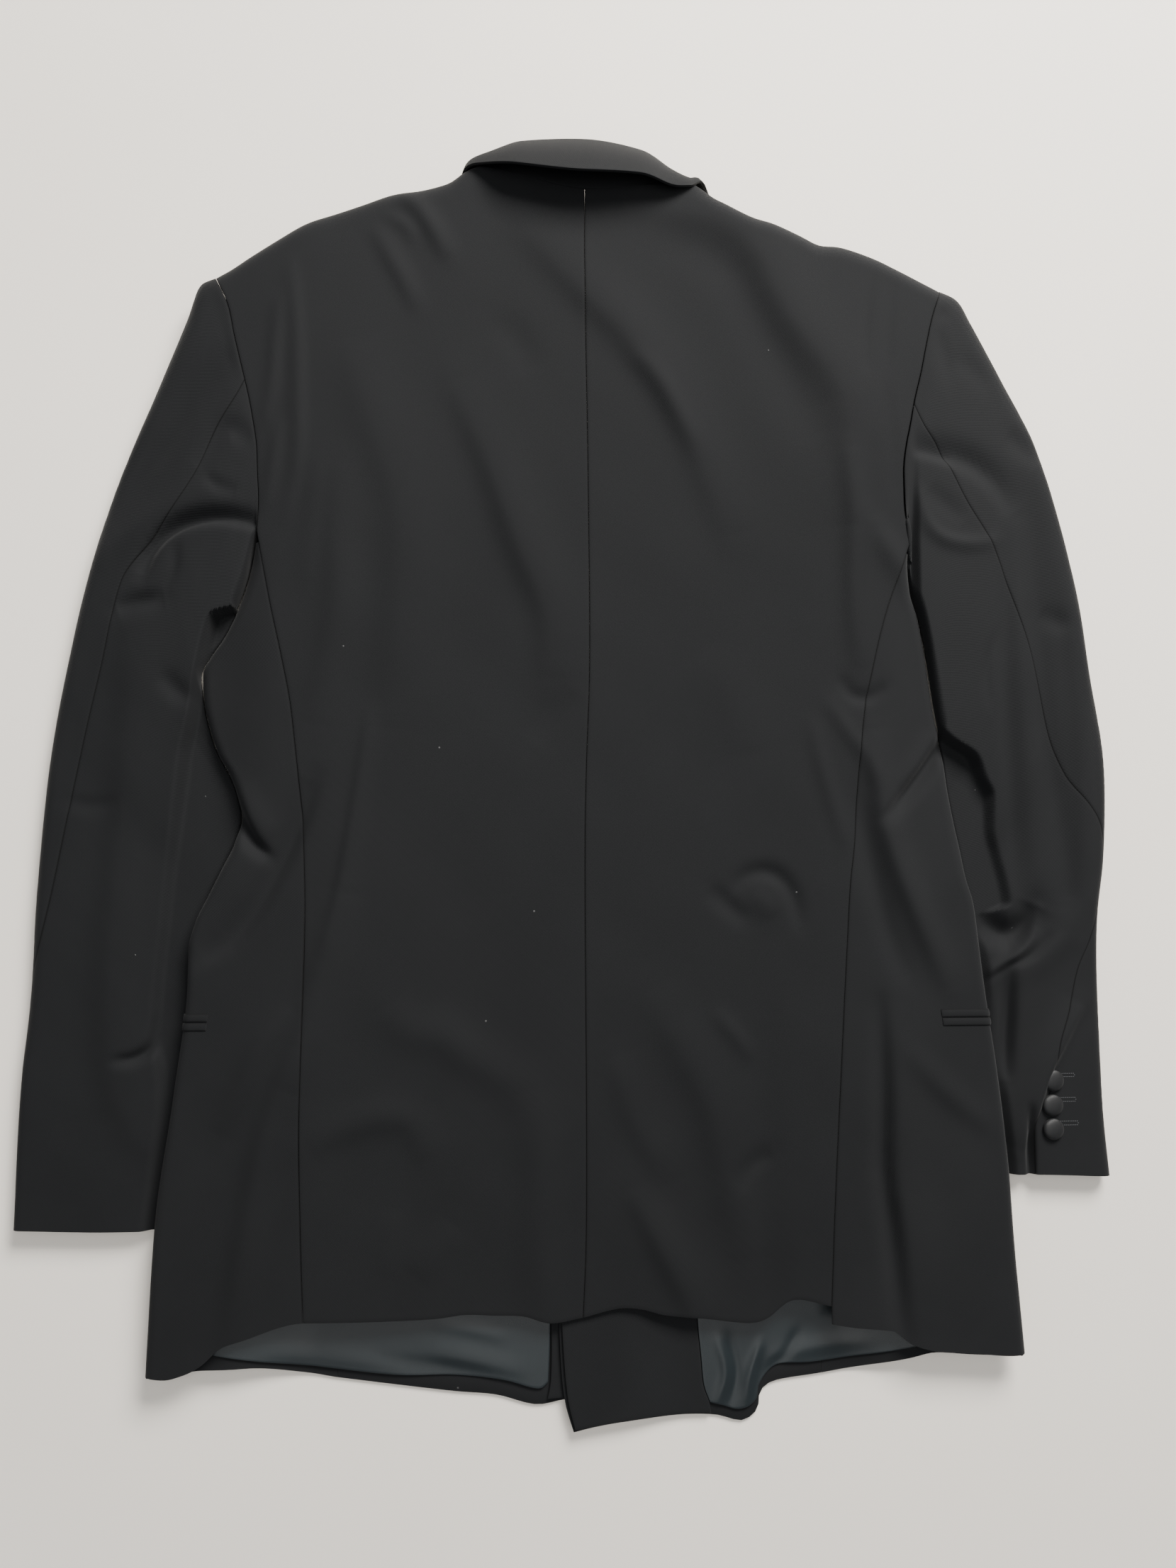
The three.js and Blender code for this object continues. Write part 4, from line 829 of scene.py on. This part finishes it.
def make_front(side, key):
    sign = side["sign"]
    underarm_level = side["armhole"][-1][1]
    underarm = (sign * float(front_seam(side, underarm_level)), underarm_level)
    seam_places = [underarm]
    for y in range(SIDE_TOP, HEM_LEVEL, -FRONT_SEAM_STEP):
        seam_places.append((sign * float(front_seam(side, y)), y))
    seam_places.append(side["front_hem"][-1])
    neck = side["roll_line"][0]
    past_neck = abs(neck[0]) + NECK_CLEARANCE
    shoulder = [place for place in side["neck_and_shoulder"] if abs(place[0]) > past_neck]
    shape = patch(line([neck, *shoulder]), line(side["front_hem"]), line(side["roll_line"]),
                  two_lines(line([*side["armhole"][:-1], underarm]), line(seam_places)))

    def place(u, v):
        x, y = shape(u, v)
        x = x - sign * HALF_SEAM * np.maximum(0, 1 - (1 - u) * FRONT_GAP_STEEPNESS)
        up, _ = roll(v * BODY_LENGTH, SHOULDER_ROLL)
        z = mix(SHOULDER_EDGE_HEIGHT - HALF_SEAM, front_low(side, x, y), up)
        return x, y, z, x, y, 0.0
    piece = cloth(f"cloth_front_{key}", WOOL_CLOTH, [f"front_{key}"], steps(40, 180),
                  body_rows(110), place, sign > 0, WOOL_SHOWN)


# Lining and facing: they lie on the fronts and show below the back's hem
INSIDE_TOP = -345
LINING_FOLDS = [
    (1.2, 5, 9, (-40, -420), (-70, -412), (-104, -404)),
    (-0.9, 7, 5, (-60, -424), (-96, -416), (-140, -408)),
    (1.0, 6, 8, (-120, -416), (-160, -408), (-214, -402)),
    (0.9, 5, 5, (-52, -398), (-74, -392), (-100, -388)),
    (1.5, 3, 4, (92, -444), (98, -424), (92, -400)),
    (-1.1, 4, 3, (101, -446), (106, -424), (101, -398)),
    (1.6, 3, 4, (112, -444), (114, -428), (122, -404)),
    (1.0, 6, 6, (130, -414), (160, -408), (200, -404)),
    (-0.9, 4, 4, (126, -424), (140, -412), (150, -396)),
]


def inside_piece(side, name, material, thickness, shape, nodes, grid, folds):
    def place(u, v):
        x, y = shape(u, v)
        z = body_inside(side, x, y) + thickness + fold_height(folds, x, y)
        return x, y, z, x, y, 0.0
    return cloth(name, material, nodes, np.linspace(0, 1, grid[0] + 1),
                 np.linspace(0, 1, grid[1] + 1), place, shape_runs_left(shape), thickness)


def shape_runs_left(shape):
    zero = np.zeros(1)
    half = np.full(1, 0.5)
    return bool(shape(zero + 1, half)[0][0] < shape(zero, half)[0][0])


def body_inside(side, x, y):
    return front_low(side, x, y) + WOOL + LOOSE_LAYER


def straight_top(left, right):
    start = left(0.0)[0]
    end = right(0.0)[0]
    return lambda u: [mix(start, end, u), INSIDE_TOP + 0 * u]


def make_insides():
    left_edge = LEFT["lining_edge"]
    start = line([(-22.3, INSIDE_TOP), (-22.3, -400), (-23.3, -427)])
    end = line([(-226, INSIDE_TOP), left_edge[-1]])
    shape = patch(straight_top(start, end), line(left_edge), start, end)
    piece = inside_piece(LEFT, "cloth_lining_left", LINING_CLOTH, LINING_SHOWN, shape,
                         ["lining_left"], (120, 44), LINING_FOLDS)

    right_edge = RIGHT["lining_edge"]
    start = line([(78.3, INSIDE_TOP), (79.3, -391), (81.3, -412), (83.3, -432), (87.3, -443)])
    end = line([(226, INSIDE_TOP), right_edge[-1]])
    shape = patch(straight_top(start, end), line(right_edge), start, end)
    piece = inside_piece(RIGHT, "cloth_lining_right", LINING_CLOTH, LINING_SHOWN, shape,
                         ["lining_right"], (100, 60), LINING_FOLDS)

    start = line([(12, INSIDE_TOP), (12, -436)])
    end = line([(-21.7, INSIDE_TOP), (-21.7, -427), (-23.7, -438)])
    shape = patch(straight_top(start, end), line([(12, -436), (-8, -437), (-23.7, -438)]), start, end)
    piece = inside_piece(LEFT, "cloth_facing_left", WOOL_CLOTH, LINING, shape,
                         ["facing_left"], (16, 40), [])

    start = line([(-15, INSIDE_TOP), (-14, -392), (-10, -437), (-5, -457)])
    end = line([(77.7, INSIDE_TOP), (78.7, -391), (80.7, -412), (82.7, -432), (86.7, -443), (87.7, -450)])
    shape = patch(straight_top(start, end),
                  line([(-5, -457), (8, -455), (30, -452), (70, -450), (87.7, -450)]), start, end)
    piece = inside_piece(RIGHT, "cloth_facing_right", WOOL_CLOTH, LINING, shape,
                         ["facing_right"], (40, 44), [])


LAPEL_CLOTH_THICKNESS = 1.2


def make_lapel(side, key):
    fold = line(side["lapel_fold"])
    edge = line(side["lapel_edge"])

    def place(u, v):
        inner = fold(v)
        outer = edge(v)
        x = mix(inner[0], outer[0], u)
        y = mix(inner[1], outer[1], u)
        return x, y, np.zeros_like(u), x, y, 0.0
    piece = cloth(f"cloth_lapel_{key}", LAPEL_CLOTH, [f"lapel_{key}"],
                  np.linspace(0, 1, 17), np.linspace(0, 1, 41), place, side["sign"] > 0,
                  LAPEL_CLOTH_THICKNESS)


# Collar: one cloth that rises from the neck seam, turns over at the crest and falls as the leaf.
# Share along the neck, then seam, crest and leaf edge as X, Y, Z
COLLAR = table([
    (0.00, -78, 417, 9, -80, 424, 9, -92, 418, 6),
    (0.08, -76, 421, 17, -78, 431, 12, -84, 423, 22),
    (0.17, -66, 423, 22, -66, 438, 16, -70, 420, 32),
    (0.30, -48, 421, 25, -44, 446, 19, -48, 415, 41),
    (0.50, 0, 412.5, 26, 0, 449, 20, 0, 410, 44),
    (0.68, 40, 414, 25, 40, 443, 19, 38, 411, 41),
    (0.82, 60, 416, 22, 62, 431, 16, 62, 408, 33),
    (0.91, 70, 415, 18, 74, 425, 13, 76, 411, 28),
    (0.96, 73, 413, 13, 77, 424, 11, 86, 419, 20),
    (1.00, 74, 410, 9, 79, 419, 8, 94, 418, 8)])
COLLAR_THICKNESS = 1.8
COLLAR_BULGE = 3
COLLAR_LIFT = 2.4
CREST_SHARE = 0.44
STAND_START = -0.04
STAND_DROP = (0, -1.5, -2.2)
STAND_END = 0.96
TURN_RANGE = (CREST_SHARE - 0.03, CREST_SHARE + 0.04)
NEIGHBOUR = 0.01
COLLAR_MAP = (190, 75)


def make_collar():
    def place(u, v):
        columns = COLLAR(u)
        seam, crest, tip = [np.stack(columns[i:i + 3]) for i in (0, 3, 6)]
        ahead = np.stack(COLLAR(np.minimum(1, u + NEIGHBOUR))[3:6])
        behind = np.stack(COLLAR(np.maximum(0, u - NEIGHBOUR))[3:6])
        out = np.cross(tip - crest, ahead - behind, axis=0)
        out = out / np.linalg.norm(out, axis=0)
        rise = np.clip(v / CREST_SHARE, 0, 1)
        fall = np.clip((v - CREST_SHARE) / (1 - CREST_SHARE), 0, 1)
        stand = seam + (crest - seam) * (STAND_START + (STAND_END - STAND_START) * rise)
        stand = stand + np.array(STAND_DROP).reshape(3, 1, 1) * (1 - rise)
        leaf = crest + (tip - crest) * fall + out * (COLLAR_BULGE * np.sin(math.pi * fall) + COLLAR_LIFT)
        turned = smooth(*TURN_RANGE, v)
        x, y, z = mix(stand, leaf, turned)
        return x, y, z, u * COLLAR_MAP[0], v * COLLAR_MAP[1], 0.0
    piece = cloth("cloth_collar", WOOL_CLOTH, ["collar_stand", "collar_leaf"],
                  np.linspace(0, 1, 121), np.linspace(0, 1, 61), place, False, COLLAR_THICKNESS)


# Sleeves: flattened tubes, from the armhole to the cuff.
# Share of length, underside at the outer and inner edge, top at the outer and inner edge
SLEEVE_LEVELS = table([
    (0.00, 1.6, 1.6, 26, 19), (0.10, 0.6, 3.0, 22, 22), (0.22, 0, 4.0, 18, 21), (0.36, 0, 2.5, 15.5, 18),
    (0.48, 0, 0, 14, 12), (0.56, 0, 0, 13.5, 7.5), (0.75, 0, 0, 12.5, 7.2), (1.00, 0, 0, 11.5, 7.2)])
SLEEVE_CROWN = 1.5
STEP_WIDTH = 8
SEAM_FADE = 0.014
LOWER_TOP = 5.2
LEAST_DEPTH = 2 * WOOL + SEAM
ARMHOLE_BLEND = 0.14
SLEEVE_LENGTH = 660
LEFT_CUFF_LIFT = {"from": 0.79, "to": 0.85, "height": 5.2, "reach": (34, 62)}
FOREARM_SHARE = 0.62
ROLL_RATIO = 1.25
SEARCH_START = -0.25
SEARCH_ROUNDS = 30
ARMHOLE_GAP_REACH = 8


def sleeve_shape(side):
    armhole = line(side["armhole"])
    outer = line(side["sleeve_outer"])
    inner = line(side["sleeve_inner"])
    cuff = line(side["cuff"])
    seam_ends = [armhole(0.0), armhole(1.0)]
    cuff_ends = [cuff(0.0), cuff(1.0)]

    def read(s, v):
        found = []
        in_range = np.clip(s, 0, 1)
        for axis in (0, 1):
            across = mix(outer(v)[axis], inner(v)[axis], s)
            seam_bow = armhole(in_range)[axis] - mix(seam_ends[0][axis], seam_ends[1][axis], in_range)
            cuff_bow = cuff(in_range)[axis] - mix(cuff_ends[0][axis], cuff_ends[1][axis], in_range)
            found.append(across + (1 - v) ** 3 * seam_bow + v ** 3 * cuff_bow)
        return found
    return read


def sleeve_levels(side, shape, s, v, folded):
    x, y = shape(s, v)
    low_outer, low_inner, high_outer, high_inner = SLEEVE_LEVELS(v)
    joined = 1 - smooth(0, ARMHOLE_BLEND, v)
    ax, ay = shape(s, np.zeros_like(v))
    step = smooth(0, STEP_WIDTH, np.abs(x) - side["sleeve_step"](y) + STEP_WIDTH / 2)
    high = mix(high_outer, high_inner, s) + SLEEVE_CROWN * 4 * s * (1 - s) * (1 - joined)
    low = mix(low_outer, low_inner, s)
    high = mix(np.maximum(LOWER_TOP, low + LEAST_DEPTH), high, step)
    if folded:
        high = mix(high, body_top(ax, ay), joined)
        relief = fold_height(side["folds"], x, y) + ripples(x, y)
        high = high + relief * step * smooth(0, SEAM_FADE, v)
    else:
        high = mix(high, back_level(ax, ay), joined)
    if side["sign"] < 0:
        from_edge = np.abs(x - shape(np.zeros_like(s), v)[0])
        lift = LEFT_CUFF_LIFT["height"] * smooth(LEFT_CUFF_LIFT["from"], LEFT_CUFF_LIFT["to"], v)
        low = np.maximum(low, lift * (1 - smooth(*LEFT_CUFF_LIFT["reach"], from_edge)))
    low = mix(low, body_low(ax, ay), joined)
    return x, y, high, low


def elbow_place(side, shape, v, width, radius):
    """How far from the outer edge, along the face, the elbow seam lies"""
    low = np.full_like(v, SEARCH_START)
    high = np.ones_like(v)
    for _ in range(SEARCH_ROUNDS):
        s = (low + high) / 2
        x, y = shape(s, v)
        outside = np.abs(x) > np.abs(side["elbow_seam"](y))
        low = np.where(outside, s, low)
        high = np.where(outside, high, s)
    distance = low * width
    return np.where(distance >= 0, along_roll(distance, radius), distance)


def sleeve_place(side, part):
    shape = sleeve_shape(side)

    def place(u, v):
        rows = v[:, :1]
        zero = np.zeros_like(rows)
        one = np.ones_like(rows)
        ox, oy = shape(zero, rows)
        ix, iy = shape(one, rows)
        width = np.hypot(ix - ox, iy - oy)
        radii = []
        for s in (zero, one):
            _, _, high, low = sleeve_levels(side, shape, s, rows, False)
            radii.append(ROLL_RATIO * (high - low) / 2)
        outer_radius, inner_radius = radii
        elbow = elbow_place(side, shape, rows, width, outer_radius)
        full = along_roll(width - inner_radius, outer_radius) + math.pi / 2 * inner_radius
        forearm = along_roll(FOREARM_SHARE * width, outer_radius)
        if part == "top":
            start = -forearm + HALF_SEAM
            end = elbow - HALF_SEAM
        else:
            start = elbow + HALF_SEAM
            end = 2 * full - forearm - HALF_SEAM
        along = mix(start, end, u)
        turned = np.where(along > full, 2 * full - along, np.abs(along))
        upper = (along >= 0) & (along <= full)
        near_outer = turned < full / 2
        radius = np.where(near_outer, outer_radius, inner_radius)
        distance, up, _ = across_roll(np.where(near_outer, turned, full - turned), radius)
        s = np.where(near_outer, distance, width - distance) / width
        x, y, high, low = sleeve_levels(side, shape, s, v, True)
        from_seam = end - along if part == "top" else along - start
        dip = seam_dip(from_seam, v * SLEEVE_LENGTH)
        middle = (high + low) / 2
        z = np.where(upper, mix(middle, high - dip, up), mix(middle, low, up))
        gap = side["sign"] * ARMHOLE_GAP * np.maximum(0, 1 - v * SLEEVE_LENGTH / ARMHOLE_GAP_REACH)
        # The last value is the painted shade along the elbow seam and the armhole seam
        return x + gap, y, z, along, v * SLEEVE_LENGTH, painted_seam_shade(from_seam, v * SLEEVE_LENGTH)
    return place


def make_sleeve(side, key):
    down = steps(290, SLEEVE_LENGTH)
    pieces = []
    for part, columns in (("top", 50), ("under", 100)):
        piece = cloth(f"cloth_{part}_sleeve_{key}", WOOL_CLOTH, [f"{part}_sleeve_{key}"],
                      steps(columns, 150), down, sleeve_place(side, part), side["sign"] > 0, WOOL_SHOWN)
        pieces.append(piece)
    return pieces


# Buttons: moulds covered with cloth. Their profile is given as shares of radius and height.
BUTTON_PROFILE = [(0.0, 0.0), (0.72, 0.0), (0.9, 0.06), (0.99, 0.2), (1.0, 0.36), (0.96, 0.52),
                  (0.86, 0.7), (0.7, 0.84), (0.5, 0.935), (0.26, 0.985), (0.0, 1.0)]
BUTTON_SIDES = 48


def make_button(name, node, facing):
    low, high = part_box(node)
    centre = (low + high) / 2
    radius = (high.x - low.x) / 2
    height = high.z - low.z
    form = bmesh.new()
    points = [form.verts.new((r * radius, 0, z * height)) for r, z in BUTTON_PROFILE]
    edges = [form.edges.new(pair) for pair in zip(points, points[1:])]
    bmesh.ops.spin(form, geom=points + edges, cent=(0, 0, 0), axis=(0, 0, 1), dvec=(0, 0, 0),
                   angle=2 * math.pi, steps=BUTTON_SIDES, use_merge=True)
    bmesh.ops.remove_doubles(form, verts=form.verts, dist=1e-6)
    bmesh.ops.recalc_face_normals(form, faces=form.faces)
    if facing < 0:
        bmesh.ops.rotate(form, verts=form.verts, cent=(0, 0, 0), matrix=Matrix.Rotation(math.pi, 3, "X"))
        base = high.z
    else:
        base = low.z
    bmesh.ops.translate(form, verts=form.verts, vec=(centre.x, centre.y, base))
    map_in_plan(form, "cloth")
    piece = object_from(form, name)
    finish_piece(piece, BUTTON_CLOTH, [node])


# The sewn-up buttonholes of the cuff that shows: from and to in X, and the levels of two rows
BUTTONHOLES = [((333.0, 346.5), (-223.5, -225.7)), ((333.6, 347.0), (-240.2, -242.8)),
               ((335.0, 348.2), (-256.4, -259.1))]
STITCHES = 10
STITCH_SIZE = (1.05, 0.55, 0.4)
STITCH_SEGMENTS = (8, 6)
CAST_FROM = 0.1


def make_buttonholes(sleeve_pieces):
    trees = []
    for piece in sleeve_pieces:
        corners = [vert.co for vert in piece.data.vertices]
        faces = [tuple(face.vertices) for face in piece.data.polygons]
        trees.append(BVHTree.FromPolygons(corners, faces))
    form = bmesh.new()
    for (start, end), levels in BUTTONHOLES:
        pitch = (end - start) / STITCHES
        rows = [(start + (i + 0.5) * pitch, level) for level in levels for i in range(STITCHES)]
        for x, y in rows + [(end, sum(levels) / 2)]:
            above = Vector(((x + SHIFT[0]) * MM, (y + SHIFT[1]) * MM, CAST_FROM))
            hits = [tree.ray_cast(above, Vector((0, 0, -1))) for tree in trees]
            spot, normal = max((hit[:2] for hit in hits if hit[0]), key=lambda hit: hit[0].z)
            if normal.z < 0:
                normal = -normal
            lean = Vector((0, 0, 1)).rotation_difference(normal).to_matrix().to_4x4()
            size = Matrix.Diagonal([side * MM for side in STITCH_SIZE] + [1])
            bmesh.ops.create_uvsphere(form, u_segments=STITCH_SEGMENTS[0], v_segments=STITCH_SEGMENTS[1],
                                      radius=0.5, matrix=Matrix.Translation(spot) @ lean @ size)
    map_in_plan(form, "cloth")
    piece = object_from(form, "buttonhole_stitches_right")
    piece.data.materials.append(THREAD_CLOTH)
    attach(piece, "root")


def map_in_plan(form, name):
    """A cloth map in metres, seen from above"""
    layer = form.loops.layers.uv.new(name)
    for face in form.faces:
        for corner in face.loops:
            corner[layer].uv = (corner.vert.co.x, corner.vert.co.y)


def object_from(form, name):
    mesh = bpy.data.meshes.new(name)
    form.to_mesh(mesh)
    form.free()
    mesh.shade_smooth()
    piece = bpy.data.objects.new(name, mesh)
    bpy.context.scene.collection.objects.link(piece)
    return piece


def make_buttons():
    for i in (1, 2, 3):
        make_button(f"covered_button_{i}_right", f"cuff_button_{i}_right", 1)
        make_button(f"covered_button_{i}_left", f"cuff_button_{i}_left", -1)
    make_button("covered_button_front", "front_button", -1)


# Camera, floor and light
CAMERA_PLACE = (-0.048535, -0.08763, 0.8338)
CAMERA_AXES = ((0.99807, 0.0, 0.06216), (-0.00536, 0.99627, 0.08613), (-0.06193, -0.08629, 0.99434))
LENS = 27.05
SENSOR = 36
FLOOR_HALF = 4
FLOOR_LEVEL = -0.0004
FLOOR_COLOURS = ((0.93, 0.875, 0.79), (0.96, 0.905, 0.82))
FLOOR_PATCHES = 3.0
FLOOR_ROUGHNESS = 0.65


def make_camera():
    data = bpy.data.cameras.new("camera")
    data.sensor_width = SENSOR
    data.lens = LENS
    camera = bpy.data.objects.new("camera", data)
    turned = Matrix(CAMERA_AXES).transposed().to_4x4()
    camera.matrix_world = Matrix.Translation(CAMERA_PLACE) @ turned
    bpy.context.scene.collection.objects.link(camera)
    bpy.context.scene.camera = camera


def make_floor():
    form = bmesh.new()
    bmesh.ops.create_grid(form, x_segments=1, y_segments=1, size=FLOOR_HALF)
    bmesh.ops.translate(form, verts=form.verts, vec=(0, 0, FLOOR_LEVEL))
    floor = object_from(form, "floor")
    material = bpy.data.materials.new("pale_floor")
    material.use_nodes = True
    tree = material.node_tree
    shader = tree.nodes["Principled BSDF"]
    place = tree.nodes.new("ShaderNodeTexCoord")
    cloud = tree.nodes.new("ShaderNodeTexNoise")
    cloud.inputs["Scale"].default_value = FLOOR_PATCHES
    tree.links.new(place.outputs["Object"], cloud.inputs["Vector"])
    colour = ramp_between(tree, cloud.outputs["Fac"], *FLOOR_COLOURS, 0.3, 0.7)
    tree.links.new(colour, shader.inputs["Base Color"])
    shader.inputs["Roughness"].default_value = FLOOR_ROUGHNESS
    floor.data.materials.append(material)


def make_light(name, place, target, size, power, colour):
    data = bpy.data.lights.new(name, "AREA")
    data.shape = "RECTANGLE"
    data.size = size[0]
    data.size_y = size[1]
    data.energy = power
    data.color = colour
    light = bpy.data.objects.new(name, data)
    aim = Vector(target) - Vector(place)
    light.location = place
    light.rotation_euler = aim.to_track_quat("-Z", "Y").to_euler()
    bpy.context.scene.collection.objects.link(light)


def make_lights():
    make_light("window", (0.8, 1.75, 1.35), (0, 0, 0), (1.3, 0.9), 138, (1.0, 0.975, 0.94))
    make_light("ceiling", (0.1, -0.2, 2.2), (0, 0, 0), (2.2, 2.2), 26, (1.0, 0.985, 0.96))
    world = bpy.data.worlds.new("room")
    world.use_nodes = True
    backdrop = world.node_tree.nodes["Background"]
    backdrop.inputs["Color"].default_value = (0.92, 0.95, 1.0, 1)
    backdrop.inputs["Strength"].default_value = 0.25
    bpy.context.scene.world = world


make_camera()
make_floor()
make_lights()
for side_key, coat_side in SIDES.items():
    coat_side["seam_at"] = table([(y, x) for x, y in reversed(coat_side["side_seam"])])
    make_back(coat_side, side_key)
    make_side(coat_side, side_key)
    make_jets(coat_side, side_key)
    make_front(coat_side, side_key)
    make_lapel(coat_side, side_key)
    coat_side["sleeve_pieces"] = make_sleeve(coat_side, side_key)
make_insides()
make_collar()
make_buttons()
make_buttonholes(RIGHT["sleeve_pieces"])
